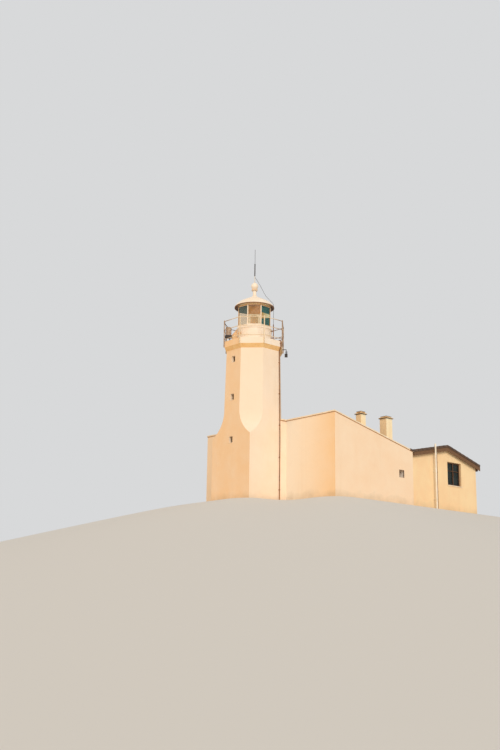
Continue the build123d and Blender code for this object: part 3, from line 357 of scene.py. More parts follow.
def dark_iron(name):
    """Tarred iron with old rust."""
    return painted_iron(name, "3a312b", "2a2420", "5e3a24", 0.56, 0.6)


def bare_metal(name, light, shade, roughness, metallic):
    """Metal with dull and bright patches and fine scratches."""
    scale = 14.0
    paint = Paint(name, roughness, metallic)
    paint.colour(paint.mix(paint.patches(scale, 0.35, 0.68, rough=0.65), light, shade))
    bright, dull = roughness - 0.12, roughness + 0.18
    paint.roughen(paint.between(paint.noise(scale * 2, 5.0), 0.3, 0.7, bright, dull))
    paint.bump(paint.noise(scale * 6, 4.0), 0.0006)
    return paint


def wood(name, light, shade, line, letter, pitch, stretch):
    """Boards along one way, with grain, joints and weathering."""
    paint = Paint(name, 0.62)
    grain = paint.noise(9.0, 7.0, 0.65, stretch)
    joints = paint.grooves(letter, pitch, 0.006)
    paint.colour(paint.mix(paint.between(grain, 0.35, 0.68), light, shade))
    paint.over(paint.maths("MULTIPLY", joints, 0.8), line)
    paint.over(paint.patches(2.5, 0.58, 0.74, 0.45), line)
    paint.roughen(paint.between(grain, 0.3, 0.7, 0.5, 0.8))
    paint.bump(grain, 0.0015)
    paint.bump(paint.between(joints, 0.0, 1.0, 1.0, 0.0), 0.003)
    return paint


def glass(name, clear, film, cover, roughness=0.06):
    """Thin glass that lets light through, under a sheen and an uneven film of salt and dust."""
    paint = Paint(name, roughness)
    salt = paint.patches(4.0, 0.35, 0.75, stretch=(1, 1, 0.5))
    paint.colour(paint.mix(salt, film, clear))
    paint.roughen(paint.between(salt, 0.0, 1.0, roughness, roughness + 0.3))
    paint.bump(salt, 0.0004)
    sheen = paint.node("LayerWeight", 0.2).outputs["Facing"]
    share = paint.maths("MAXIMUM", sheen, paint.between(salt, 0.0, 1.0, cover * 0.6, cover))
    through = paint.node("BsdfTransparent", tint(clear))
    mixed = paint.node("MixShader", share, through.outputs[0], paint.shader.outputs[0])
    paint.cover = mixed.inputs[0]
    paint.feed(paint.tree.nodes["Material Output"].inputs["Surface"], mixed.outputs[0])
    return paint


def lantern_panes():
    """The lantern's panes: salted glass, with painted reflections, painted light and painted shade in
    teal, amber, gold, grey and cream on the three to the sea.
    """
    paint = glass("lantern_panes", "fef9f0", "fff4e0", 0.22)
    angle = paint.angle()
    height = paint.axis("Z")

    def zone(middle, edge, slope, sign):
        """A share that is whole on one pane, above or below an edge that slopes along it."""
        turn = paint.maths("SUBTRACT", angle, middle)
        level = paint.maths("ADD", edge, paint.maths("MULTIPLY", turn, slope))
        beyond = paint.maths("MULTIPLY", paint.maths("SUBTRACT", height, level), sign)
        near = paint.past(paint.maths("ABSOLUTE", turn), pane_half_turn, -0.005)
        return paint.maths("MULTIPLY", paint.past(beyond, 0.0, 0.01), near)

    # Painted reflections and painted shade on the three panes to the sea: teal for the shaded ceiling and
    # the sky in the side panes, with a gold band across the right one, amber for the lit ceiling in the
    # middle pane, and grey and warm cream lower down for the sky
    left = zone(left_pane_angle, left_reflection_height, left_reflection_fall, 1)
    right = zone(right_pane_angle, right_reflection_height, 0.0, 1)
    low = zone(right_pane_angle, low_reflection_height, low_reflection_rise, -1)
    amber = zone(middle_pane_angle, reflection_height, 0.0, 1)
    teal = paint.maths("MAXIMUM", left, paint.maths("MAXIMUM", right, low))
    band = zone(right_pane_angle, reflection_height - 1, 0.0, 1)
    grey = zone(left_pane_angle, reflection_height - 1, 0.0, 1)
    warm_sky_reflection = zone(middle_pane_angle, reflection_height, 0.0, -1)
    patchy = paint.patches(6.0, 0.3, 0.7, detail=4.0, rough=0.55)
    across = paint.past(paint.maths("SUBTRACT", angle, right_pane_angle), 0.0, 0.3)
    paint.over(grey, paint.mix(patchy, "e6d8c2", "d9d2c8"))
    paint.over(warm_sky_reflection, "ffe6b4")
    paint.over(band, paint.mix(across, "bd9550", "d8dcb0"))
    paint.over(teal, paint.mix(patchy, "1c504c", "337068"))
    paint.over(left, paint.mix(patchy, "26423e", "3a5750"))
    paint.over(amber, paint.mix(patchy, "8e6228", "b98344"))
    # The painted zones cover most of the clear glass, and the warm cream one a little more than the salt
    # alone
    reflected = paint.maths("MAXIMUM", teal, band)
    reflected = paint.maths("MAXIMUM", reflected, paint.maths("MULTIPLY", amber, 0.95))
    share = paint.cover.links[0].from_socket
    share = paint.maths("MULTIPLY", share, paint.between(warm_sky_reflection, 0.0, 1.0, 1.0, 1.4))
    paint.feed(paint.cover, paint.maths("MAXIMUM", share, paint.maths("MULTIPLY", reflected, 0.86)))
    return paint


def tiles(name):
    """Fired clay tiles, each of its own shade, with soot and lichen."""
    paint = Paint(name, 0.8)
    paint.colour(paint.mix(paint.cells((tile_width, tile_exposure, 10.0)), "68503f", "54443a"))
    paint.over(paint.patches(5.0, 0.42, 0.66), "5e4838")
    paint.over(paint.patches(1.6, 0.52, 0.7, 0.7, rough=0.65), "40352d")
    paint.over(paint.patches(22.0, 0.66, 0.74, 0.7, detail=5.0), "9a8b66")
    paint.bump(paint.noise(50.0, 5.0, 0.65), 0.002)
    return paint


def ceiling_boards():
    """Varnished boards inside the lantern, and painted light and shade on the eave: pale to the sea, dark
    behind.
    """
    paint = wood("ceiling_boards", "e0a868", "cc9050", "8a5c30", "X", 0.11, (8, 0.8, 8))
    flat = paint.node("VectorMath", paint.place, (1, 1, 0), operation="MULTIPLY")
    reach = paint.node("VectorMath", flat.outputs[0], operation="LENGTH")
    # Painted light and shade on the eave beyond the panes: pale where it turns to the sea, dark behind
    eave_light_and_shade = paint.mix(paint.between(paint.turn_from(middle_pane_angle), 0.80, 1.20), "fff2cc", "5a3f28")
    paint.over(paint.between(reach.outputs["Value"], 0.80, 0.82), eave_light_and_shade)
    return paint


def rod_metal():
    """The lightning rod: dark above, with a pale lower length over the ball."""
    paint = dark_iron("rod_metal")
    paint.colour(paint.mix(paint.past(paint.axis("Z"), pale_rod_top, 0.01), "e6d6bd", paint.base()))
    return paint


def lantern_post_iron():
    """The lantern's posts: cream to the sea, and golden brown as painted shade on those turned away from
    it.
    """
    paint = painted_iron("lantern_post_iron", "feebd0", "f7dfbe", "94603a", 0.68)
    # Painted shade: posts turned away from the sea are golden brown
    paint.over(paint.between(paint.turn_from(middle_pane_angle), 0.7, 0.8), "b98a50")
    return paint


def railing_iron():
    """The railing: cream on the rails toward the sun, and grey-brown as painted shade on the rest."""
    paint = painted_iron("railing_iron", "f4deba", "e6c79c", "9a6338", 0.60)
    # Painted light and shade: rails toward +X and -Y stay cream, the rest turn grey-brown
    forward = paint.maths("SUBTRACT", paint.axis("X"), paint.axis("Y"))
    sunny = paint.between(paint.maths("MULTIPLY", forward, math.sqrt(0.5)), 0.75, 1.05)
    shaded_tone = paint.mix(paint.patches(7.0, 0.4, 0.65, detail=5.0, rough=0.55), "bfa488", "8f6d4f")
    paint.colour(paint.mix(sunny, shaded_tone, paint.base()))
    return paint


def lamp_stand_iron():
    """The small lamp's stand: dark, with a tan band at its cap."""
    paint = dark_iron("lamp_stand_iron")
    above = paint.past(paint.axis("Z"), lamp_cap_low, 0.005)
    below = paint.past(paint.axis("Z"), lamp_cap_high, -0.005)
    paint.over(paint.maths("MULTIPLY", above, below), "b59676")
    return paint


def window_joinery():
    """Dark brown frames in the tower's slits as painted shade for the dark of the slits, and brown stain
    on the house's.
    """
    paint = wood("window_joinery", "6b4a31", "523724", "33231a", "Z", 3.0, (9, 9, 1))
    # Painted shade: frames towards the sea, in the tower's slits, are dark brown
    paint.colour(paint.mix(paint.between(paint.axis("Y"), 0.0, 0.2), "4c3618", paint.base()))
    return paint


# Paints by material slot, for the solids and for the pieces added to them
slot_paints = {
    "white_plaster": plaster("cream_plaster", "fee9cf", "fbe2c4", "e9c89c", "f9d0a0"),
    "floor_concrete": concrete("floor_concrete", "b9b2a4", "9d9688", "6f685c"),
    "coping_render": concrete("coping_render", "fdebcf", "f4d9b0", "b58f62"),
    "white_iron": painted_iron("white_painted_iron", "ffefd9", "fae5ca", "94603a", 0.69),
    "rim_brown": painted_iron("brown_roof_rim", "9c6a3a", "7e5430", "4a3020", 0.57, 0.6),
    "ceiling_wood": ceiling_boards(),
    "clear_glass": glass("pane_glass", "4f5c5a", "3b4644", 0.5),
    "dark_iron": dark_iron("dark_iron"),
    "lens_metal": bare_metal("lens_brass", "b98a4b", "8e6734", 0.38, 1.0),
    "lens_glass": glass("lens_glass", "f8b048", "ec9c34", 0.95, 0.1),
    "rusty_iron": painted_iron("rusty_conduit", "a5703f", "885936", "5a3520", 0.52, 0.75),
    "roof_tile": tiles("clay_tiles"),
    "window_wood": window_joinery(),
    "door_wood": wood("door_boards", "7a5637", "62432b", "38281b", "X", 0.15, (9, 9, 1)),
    "brown_wood": wood("verge_boards_wood", "7e5a38", "66462b", "3f2d1e", "Z", 3.0, (9, 1, 9)),
    "gutter_zinc": bare_metal("gutter_zinc", "9a9c9c", "7b7d7d", 0.5, 0.8),
    "white_pipe": painted_iron("white_pipe", "fdf3e0", "f0dfc2", "b08a5c", 0.68, 0.35),
}
# The house's plaster: fff4df is painted light, thrown back from the tower onto the front wall near it
house_paint = plaster("house_plaster", "fee3c2", "fcdbb6", "e9c494", "fdd29c", tower_bounce_light="fff4df")
wing_paint = plaster("wing_plaster", "fedfae", "fbd19f", "dcb280", "f8d09c")
frieze_paint = painted_iron("golden_frieze", "eab878", "d69c58", "8a5530", 0.62)
rail_paint = railing_iron()

# Solids and pieces that differ from the rest of their slot
own_paints = {
    # The cornice's golden colour is painted light: the warm light thrown up under its flare
    "cornice": concrete("cornice_render", "fdd292", "f7c07c", "c48c48"),
    "gallery_slab": plaster("slab_render", "fff0dc", "fbe3c4", "e0b884", "fdd09a"),
    "lantern_glass": lantern_panes(),
    "lantern_posts": lantern_post_iron(),
    "gallery_lamp_stand": lamp_stand_iron(),
    "gallery_locker": plaster("locker_render", "fbdcae", "f3ca98", "c09464", "fad3a2"),
    "lightning_rod": rod_metal(),
    "chimneys": plaster("chimney_plaster", "fff1cc", "fde2b4", "d6ab78", "ffdcac"),
    "chimney_caps": concrete("cap_render", "f3d3a2", "d9ac74", "6a4a30", 5.0),
    "lamp_ribbed_glass": glass("lamp_glass", "f0dcc6", "e2c8ac", 0.88, 0.2),
    "lamp_guard": bare_metal("lamp_cap_metal", "a98a6c", "8c6e54", 0.6, 0.1),
    # A brown strip for the shadow and dirt line under the copings: partly painted shade
    "coping_shade_and_dirt_line": bare_metal("coping_shade_and_dirt_line", "c48a50", "a37040", 0.7, 0.0),
}
own_paints |= dict.fromkeys(("sea_walls", "side_walls", "main_back_walls"), house_paint)
own_paints |= dict.fromkeys(("wing_gables", "wing_back_wall"), wing_paint)
own_paints |= dict.fromkeys(("wing_roof_front", "wing_roof_back"), slot_paints["brown_wood"])
own_paints |= dict.fromkeys(("railing_panels", "railing_corner_rails", "railing_knuckles"), rail_paint)
own_paints |= dict.fromkeys(("lantern_frieze", "drum_vent", "flange_ring", "locker_lid"), frieze_paint)

# Widths of the rounded edges of solids that are cast or sawn in one piece
soft_edges = {
    "gallery_slab": 0.012,
    "cornice": 0.006,
    "sea_coping": 0.012,
    "side_copings": 0.012,
    "chimney_caps": 0.008,
    "chimneys": 0.010,
    "verge_boards": 0.004,
    "back_eave_board": 0.004,
    "lantern_sill": 0.006,
    "lantern_posts": 0.005,
    "window_frames": 0.004,
}


def paint_for(name, slot):
    """The paint of a solid or piece: its own, or its slot's."""
    return own_paints.get(name) or slot_paints[slot]


def round_edges(thing, width, angle=30):
    """Round an object's edges that turn by more than an angle."""
    bevel = thing.modifiers.new("rounding", "BEVEL")
    bevel.width = width
    bevel.segments = 2
    bevel.limit_method = "ANGLE"
    bevel.angle_limit = math.radians(angle)


def dress_nodes():
    """Paint each solid and round the edges of those that are listed."""
    for name, node in nodes.items():
        for spot in node.material_slots:
            spot.material = paint_for(name, spot.material.name.split(".")[0]).material
        if name in soft_edges:
            round_edges(node, soft_edges[name], 35)


def polar(radius, angle, height=0.0):
    """A point at a distance and an angle in degrees from the tower's axis."""
    return Vector((radius * math.cos(math.radians(angle)), radius * math.sin(math.radians(angle)), height))


def turned(x, y, z, angle):
    """A place whose first axis points at an angle in degrees from +X."""
    return Matrix.Translation((x, y, z)) @ Matrix.Rotation(math.radians(angle), 4, "Z")


def facing(angle, radius=0.0, height=0.0):
    """A place whose first axis points away from the tower's axis."""
    return turned(*polar(radius, angle, height), angle)


def side_angles(start):
    """Directions an eighth of a turn apart, of an octagon's sides or corners."""
    return [start + side_turn * step for step in range(lantern_sides)]


def degrees_apart(angle, other):
    """How far two directions lie apart, the shorter way round."""
    return abs((angle - other + 180) % 360 - 180)


def circle(radius, count):
    """Points round a circle about the origin."""
    turns = [2 * math.pi * step / count for step in range(count)]
    return [(radius * math.cos(turn), radius * math.sin(turn)) for turn in turns]


def arc_through(start, middle, end, count):
    """Points along the circular arc through three points of a plane."""
    (ax, ay), (bx, by), (cx, cy) = start, middle, end
    size = 2 * (ax * (by - cy) + bx * (cy - ay) + cx * (ay - by))
    lengths = [x * x + y * y for x, y in (start, middle, end)]
    ux = (lengths[0] * (by - cy) + lengths[1] * (cy - ay) + lengths[2] * (ay - by)) / size
    uy = (lengths[0] * (cx - bx) + lengths[1] * (ax - cx) + lengths[2] * (bx - ax)) / size
    radius = math.hypot(ax - ux, ay - uy)
    first = math.atan2(ay - uy, ax - ux)
    last = math.atan2(cy - uy, cx - ux)
    turn = (last - first + math.pi) % (2 * math.pi) - math.pi
    steps = [first + turn * step / count for step in range(count + 1)]
    return [(ux + radius * math.cos(step), uy + radius * math.sin(step)) for step in steps]


def add_loops(shape, loops, closed=True, capped=True):
    """Skin a row of loops of points, each with the same number of points."""
    rows = [[shape.verts.new(point) for point in loop] for loop in loops]
    for low, high in zip(rows, rows[1:]):
        for index in range(len(low) if closed else len(low) - 1):
            after = (index + 1) % len(low)
            shape.faces.new((low[index], low[after], high[after], high[index]))
    if capped:
        shape.faces.new(rows[0])
        shape.faces.new(rows[-1])


def add_block(shape, place, low, high):
    """A box between two opposite corners, given in the place's own axes."""
    corners = ((low[0], low[1]), (high[0], low[1]), (high[0], high[1]), (low[0], high[1]))
    add_loops(shape, [[place @ Vector((x, y, z)) for x, y in corners] for z in (low[2], high[2])])


def add_lathe(shape, place, profile, sides, capped=True):
    """A turned shape about the place's third axis, from points of radius and height."""
    loops = [
        [place @ Vector((x, y, height)) for x, y in circle(radius, sides)]
        for radius, height in profile
    ]
    add_loops(shape, loops, capped=capped)


def add_tube(shape, points, radius, sides):
    """A round bar along a line of points."""
    points = [Vector(point) for point in points]
    loops = []
    for index, point in enumerate(points):
        ahead = (points[min(index + 1, len(points) - 1)] - points[max(index - 1, 0)]).normalized()
        across = ahead.cross(Vector((0, 0, 1)) if abs(ahead.z) < 0.9 else Vector((1, 0, 0))).normalized()
        over = ahead.cross(across)
        loops.append([point + across * x + over * y for x, y in circle(radius, sides)])
    add_loops(shape, loops)


def add_upright(shape, foot, height, radius, sides):
    """A round bar that stands on a point."""
    add_tube(shape, [foot, foot + Vector((0, 0, height))], radius, sides)


def add_rivet(shape, place, radius=0.011, height=0.007):
    """A domed head that points along the place's first axis."""
    upright = place @ Matrix.Rotation(math.radians(90), 4, "Y")
    add_lathe(shape, upright, [(radius, 0), (radius * 0.8, height * 0.7), (radius * 0.3, height)], 7)


def add_curved_plate(shape, radius, thickness, middle, half_turn, low, high):
    """A plate that follows a round wall about the tower's axis."""
    steps = 6
    spots = ((radius, low), (radius + thickness, low), (radius + thickness, high), (radius, high))
    angles = [middle - half_turn + 2 * half_turn * step / steps for step in range(steps + 1)]
    add_loops(shape, [[polar(reach, angle, height) for reach, height in spots] for angle in angles])


def add_object(name, data):
    """A new object in the scene for a mesh, a light or the camera."""
    made = bpy.data.objects.new(name, data)
    bpy.context.scene.collection.objects.link(made)
    return made


def add_mesh(name, shape, paint):
    """Turn a finished shape into a painted object."""
    bmesh.ops.recalc_face_normals(shape, faces=shape.faces)
    mesh = bpy.data.meshes.new(name)
    shape.to_mesh(mesh)
    shape.free()
    mesh.shade_smooth()
    mesh.materials.append(paint.material)
    return add_object(name, mesh)


def make_piece(name, shape, slot, *replaced, bevel=0.0, smooth=35):
    """Turn a finished shape into a piece of the lighthouse, which rides on its body."""
    piece = add_mesh(name, shape, paint_for(name, slot))
    piece.data.set_sharp_from_angle(angle=math.radians(smooth))
    if bevel:
        round_edges(piece, bevel)
    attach(piece, "root")
    if replaced:
        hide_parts(*replaced)


def lay_out_slope(low, high):
    """A slope's courses: their number, the step between them, and the direction out of the roof."""
    slope = Vector((0, high[0] - low[0], high[1] - low[1]))
    courses = round(slope.length / tile_exposure)
    out = Vector((1, 0, 0)).cross(slope.normalized())
    return courses, slope / courses, (out if out.z > 0 else -out)


def tile_outline(width):
    """One interlocking tile's section: how far along its width, and how high."""
    half = ((0, 1), (0.07, 1), (0.13, 0.25), (0.32, 0), (0.42, 0.4))
    whole = half + tuple((1 - along, up) for along, up in reversed(half[1:]))
    return [(width * along, tile_bed + tile_roll * up) for along, up in whole]


def make_tiled_slope(name, low, high, half_width):
    """Courses of tiles from the eave up, each lapping over the one below."""
    courses, along, out = lay_out_slope(low, high)
    columns = round(2 * half_width / tile_width)
    width = 2 * half_width / columns
    outline = tile_outline(width)
    start = Vector((-half_width, low[0], low[1]))
    rows = []
    for course in range(courses):
        under = []
        over = []
        for column in range(columns):
            jitter = random.uniform(-tile_jitter, tile_jitter)
            for across, height in outline:
                foot = start + along * course + Vector((width * column + across, 0, 0))
                under.append(foot + out * height)
                over.append(foot + out * (height + tile_lift + jitter) - along * (0.02 + jitter))
        rows += [under, over]
    rows.append([point + along * courses - along * (courses - 1) for point in rows[-2]])
    shape = bmesh.new()
    add_loops(shape, rows, closed=False, capped=False)
    for edge in ([row[0] for row in rows], [row[-1] for row in rows], rows[1]):
        foot = [point - out * (tile_lift + tile_roll) for point in edge]
        add_loops(shape, [edge, foot], closed=False, capped=False)
    make_piece(name, shape, "roof_tile", smooth=50)


def add_verge_tiles(shape, low, high, edge, side):
    """Angle tiles over the end of the courses, with a leg down the verge."""
    courses, along, out = lay_out_slope(low, high)
    top = tile_bed + tile_roll + tile_lift
    outer = edge + side * verge_tile_reach
    inner = edge - side * verge_tile_width
    leg = outer - side * verge_tile_thickness
    for course in range(courses):
        loops = []
        for part, lift in ((-0.08, 0.014), (1.0, 0.0)):
            foot = Vector((0, low[0], low[1])) + along * (course + part)
            spots = (
                (inner, top + lift), (outer, top + lift), (outer, top - verge_tile_drop),
                (leg, top - verge_tile_drop), (leg, top + lift - verge_tile_thickness),
                (inner, top + lift - verge_tile_thickness),
            )
            loops.append([foot + Vector((x, 0, 0)) + out * height for x, height in spots])
        add_loops(shape, loops)


def parapet_line(y):
    """Height of the side parapets' coping, which falls away from the sea."""
    front, back = (corner.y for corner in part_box("side_walls"))
    return parapet_height - (parapet_height - low_parapet_height) * (y - front) / (back - front)


def make_roofs():
    """Single tiles on the wing and the house, with the wing's verges and ridge."""
    front_low, front_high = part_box("wing_roof_front")
    back_low, back_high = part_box("wing_roof_back")
    half = front_high.x
    ridge = (front_high.y, front_high.z)
    front = (front_low.y, front_low.z + wing_roof_thickness)
    back = (back_high.y, back_low.z + wing_roof_thickness)
    inset = Vector((0, ridge[0] - back[0], ridge[1] - back[1])).normalized() * back_eave_inset
    back = (back[0] + inset.y, back[1] + inset.z)
    make_tiled_slope("wing_tiles_front", front, ridge, half)
    make_tiled_slope("wing_tiles_back", back, ridge, half)
    shape = bmesh.new()
    for side in (-1, 1):
        for low in (front, back):
            add_verge_tiles(shape, low, ridge, side * half, side)
    make_piece("verge_tiles", shape, "roof_tile", bevel=0.003)
    roof_low, roof_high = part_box("main_roof")
    ends = [(y, parapet_line(y) - roof_drop) for y in (roof_high.y, roof_low.y)]
    make_tiled_slope("main_roof_tiles", *ends, roof_high.x)

    def arch(x, radius):
        """Points over the ridge, from its back to its front."""
        turns = [math.pi * step / ridge_steps for step in range(ridge_steps + 1)]
        middle = Vector((x, ridge[0], ridge[1] - ridge_sink))
        return [middle + Vector((0, radius * math.cos(turn), radius * math.sin(turn))) for turn in turns]

    shape = bmesh.new()
    count = round(2 * half / ridge_length)
    length = 2 * half / count
    for index in range(count):
        loops = []
        for part, grow in ((0.0, 0.010), (0.12, 0.010), (0.13, 0.002), (1.04, -0.004)):
            x = min(-half + length * (index + part), half)
            outer = ridge_radius + grow
            loops.append(arch(x, outer) + arch(x, outer - ridge_skin)[::-1])
        add_loops(shape, loops)
    for side in (-1, 1):
        add_loops(shape, [arch(side * (half - depth), ridge_radius - 0.01) for depth in (0.05, 0.004)])
    make_piece("ridge_tiles", shape, "roof_tile", "wing_ridge", smooth=50)


def cross_section(side, y, spots):
    """Points of a parapet's section at a place along it, on the left or the right."""
    return [Vector((side * x, y, z)) for x, z in spots]


def make_copings():
    """The brown strip that shows as a thin line under the parapets' copings: partly painted shade, partly
    dirt.
    """
    low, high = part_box("side_walls")
    top = parapet_height - coping_thickness
    foot = top - dark_line_height
    corner = base_half_width * math.tan(math.radians(half_side))
    inner, outer = high.x - dark_line_lap, high.x + dark_line_reach
    shape = bmesh.new()
    for side in (-1, 1):
        near, far = side * base_half_width, side * high.x
        add_block(shape, Matrix(), (near, low.y - dark_line_reach, foot), (far, low.y + dark_line_lap, top))
        start, end = near - side * dark_line_lap, near + side * dark_line_reach
        add_block(shape, Matrix(), (start, corner, foot), (end, low.y, top))
        loops = []
        for y in (low.y, high.y - 0.002):
            edge = parapet_line(y) - coping_thickness
            under = edge - dark_line_height
            spots = ((inner, under), (outer, under), (outer, edge), (inner, edge))
            loops.append(cross_section(side, y, spots))
        add_loops(shape, loops)
    make_piece("coping_shade_and_dirt_line", shape, "brown_wood", bevel=0.003)


def make_saddles():
    """Dark tiles bedded over the tails of the side copings, where the wing's roof begins."""
    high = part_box("side_copings")[1]
    inner = high.x - saddle_width
    shape = bmesh.new()
    for side, reach in ((-1, -0.003), (1, 0.010)):
        outer = high.x + reach
        skin = outer - saddle_skin
        loops = []
        for along, rise in ((-saddle_length, 0.03), (-saddle_length / 2, 0.055), (0.006, 0.03)):
            level = parapet_line(high.y + along)
            top = level + rise
            bottom = level - coping_thickness - saddle_skin
            spots = (
                (inner, top - 0.02), (outer - 0.04, top), (outer, top - 0.025), (outer, bottom),
                (skin, bottom), (skin, top - 0.045), (inner, top - 0.045),
            )
            loops.append(cross_section(side, high.y + along, spots))
        add_loops(shape, loops)
    make_piece("coping_saddles", shape, "roof_tile", bevel=0.004)


def make_chimney_strips():
    """Dark strips that show as lines round the caps and the hoods of the chimneys: partly painted shade,
    partly soot.
    """
    shape = bmesh.new()
    for chimney in (large_chimney, small_chimney):
        place = Matrix.Translation((*chimney["place"], 0))
        top = chimney["hood_top"] + dark_strip_thickness
        for part, bottom in (("cap", chimney["cap_bottom"]), ("hood", top - dark_strip_height)):
            half = chimney[part] / 2 + dark_strip_thickness
            add_block(shape, place, (-half, -half, bottom), (half, half, bottom + dark_strip_height))
    make_piece("chimney_strips", shape, "dark_iron", bevel=0.003)


def make_slit_trim():
    """Sloping sills under the tower's slit windows, and crossed bars before their panes."""
    lip = 0.015
    depth = 0.10
    bar = 0.006
    side = slit_width / 2 + 0.012
    wide = slit_width / 2 - slit_frame
    tall = slit_height / 2 - slit_frame
    spots = ((depth, 0.010), (-lip, 0.0), (-lip, -0.018), (depth, -0.018))
    sills = bmesh.new()
    bars = bmesh.new()
    for middle in slit_heights:
        bottom = middle - slit_height / 2
        rise = max(bottom - base_height, 0) / (shaft_height - base_height)
        face = -(base_half_width - shaft_lean * rise)
        add_loops(sills, [[Vector((x, face + y, bottom + z)) for y, z in spots] for x in (-side, side)])
        pane = face + slit_pane
        for half, height in ((bar, tall), (wide, bar)):
            low, high = middle - height, middle + height
            add_block(bars, Matrix(), (-half, pane - 2 * bar, low), (half, pane, high))
    make_piece("slit_sills", sills, "coping_render", bevel=0.006)
    make_piece("slit_bars", bars, "window_wood", bevel=0.002)


def add_casement(shape, place, width, height):
    """Glazing bars of a two-leaf window, in axes out of the wall, along it and up."""
    rail = 0.014
    stile = 0.02
    meeting = 0.022
    tall = height / 2
    add_block(shape, place, (-0.012, -meeting, -tall), (meeting, meeting, tall))
    for side in (-1, 1):
        edge = side * width / 2
        for z in (-tall, 0.3 * tall):
            add_block(shape, place, (-0.010, side * meeting, z - rail), (rail, edge, z + rail))
        add_block(shape, place, (-0.010, edge - stile, -tall), (rail, edge + stile, tall))
    add_block(shape, place, (0.020, 0.028, -0.06), (0.045, 0.040, 0.06))


def make_windows():
    """Casements and sills of the wing's windows, and the small windows' surrounds."""
    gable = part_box("wing_gables")[1].x
    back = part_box("wing_back_wall")[1].y
    frame_width = 0.12
    overhang = 0.04
    half, tall = (measure / 2 for measure in wing_window)
    places = [
        turned(gable, wing_window_y, wing_window_z, 0),
        turned(-gable, wing_window_y, wing_window_z, 180),
        turned(-back_window_x, back, back_window_z, 90),
        turned(back_window_x, back, back_window_z, 90),
    ]
    casements = bmesh.new()
    sills = bmesh.new()
    for place in places:
        inset = place @ Matrix.Translation((-window_reveal, 0, 0))
        add_casement(casements, inset, 2 * half - frame_width, 2 * tall - frame_width)
        low = (-window_reveal, -half - overhang, -tall - 0.03)
        add_block(sills, place, low, (overhang, half + overhang, -tall + 0.012))
    make_piece("casement_bars", casements, "window_wood", bevel=0.003)
    make_piece("window_sills", sills, "coping_render", bevel=0.006)

    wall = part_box("side_walls")[1].x
    deep, proud = -0.02, 0.010
    rim = 0.028
    bar = 0.012
    half, tall = (measure / 2 for measure in small_window)
    surrounds = bmesh.new()
    for side, angle in ((1, 0), (-1, 180)):
        place = turned(side * wall, small_window_y, small_window_z, angle)
        add_block(surrounds, place, (deep, -half, tall - rim), (proud, half, tall))
        add_block(surrounds, place, (deep, side * (half - rim), -tall), (proud, side * half, tall - rim))
        add_block(surrounds, place, (-0.29, -bar, -tall), (-0.27, bar, tall))
    make_piece("small_window_surrounds", surrounds, "window_wood", bevel=0.004)


def make_door():
    """Planks, strap hinges and a ring handle on the wing's door."""
    low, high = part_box("wing_door")
    face = high.y
    count = 6
    gap = 0.004
    margin = 0.01
    thickness = 0.012
    width = (high.x - low.x) / count
    planks = bmesh.new()
    for index in range(count):
        start = low.x + width * index
        depth = thickness + 0.002 * (index % 2)
        corner = (start + width - gap, face + depth, high.z - margin)
        add_block(planks, Matrix(), (start + gap, face - 0.002, low.z + margin), corner)
    make_piece("door_planks", planks, "door_wood", bevel=0.003)

    strap = 0.02
    pin = Vector((low.x + 0.012, face + 0.016, low.z - 0.05))
    metal = bmesh.new()
    for height in (0.35, 1.75):
        z = low.z + height
        corner = (low.x + 0.62, face + strap, z + strap)
        add_block(metal, Matrix(), (low.x + strap, face + thickness, z - strap), corner)
        for reach in (0.06, 0.2, 0.4, 0.58):
            add_rivet(metal, turned(low.x + reach, face + strap, z, 90))
        add_upright(metal, pin + Vector((0, 0, height)), 0.1, 0.011, 10)
    handle = Vector((high.x - 0.09, face + 0.03, low.z + 1.0))
    ring = [handle + Vector((x, 0, z)) for z, x in circle(0.045, 24)]
    add_tube(metal, ring + ring[:1], 0.006, 8)
    add_block(metal, Matrix.Translation(handle), (-0.02, -0.02, 0.02), (0.02, -0.004, 0.075))
    make_piece("door_ironwork", metal, "dark_iron", bevel=0.0015)


def make_railing_joints():
    """Round knuckles where the rails meet the posts, and bolts through the posts' feet."""
    slab_bottom, gallery = (corner.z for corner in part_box("gallery_slab"))
    knuckle = [(0.026, -0.034), (0.034, -0.022), (0.037, 0), (0.034, 0.022), (0.026, 0.034)]
    finial = [(0.024, -0.004), (0.026, 0.012), (0.018, 0.030), (0.006, 0.038)]
    bolt_gap = 0.075
    knuckles = bmesh.new()
    bolts = bmesh.new()
    for angle in side_angles(half_side):
        for height in rail_heights:
            add_lathe(knuckles, facing(angle, post_distance - 0.011, gallery + height), knuckle, 12)
        top = facing(angle, post_distance, gallery + rail_heights[-1] + rail_radius)
        add_lathe(knuckles, top, finial, 12)
        for height in (slab_bottom + bolt_gap, gallery - bolt_gap):
            add_rivet(bolts, facing(angle, post_distance + 0.021, height), 0.014, 0.006)
    make_piece("railing_knuckles", knuckles, "white_iron")
    make_piece("railing_bolts", bolts, "dark_iron")


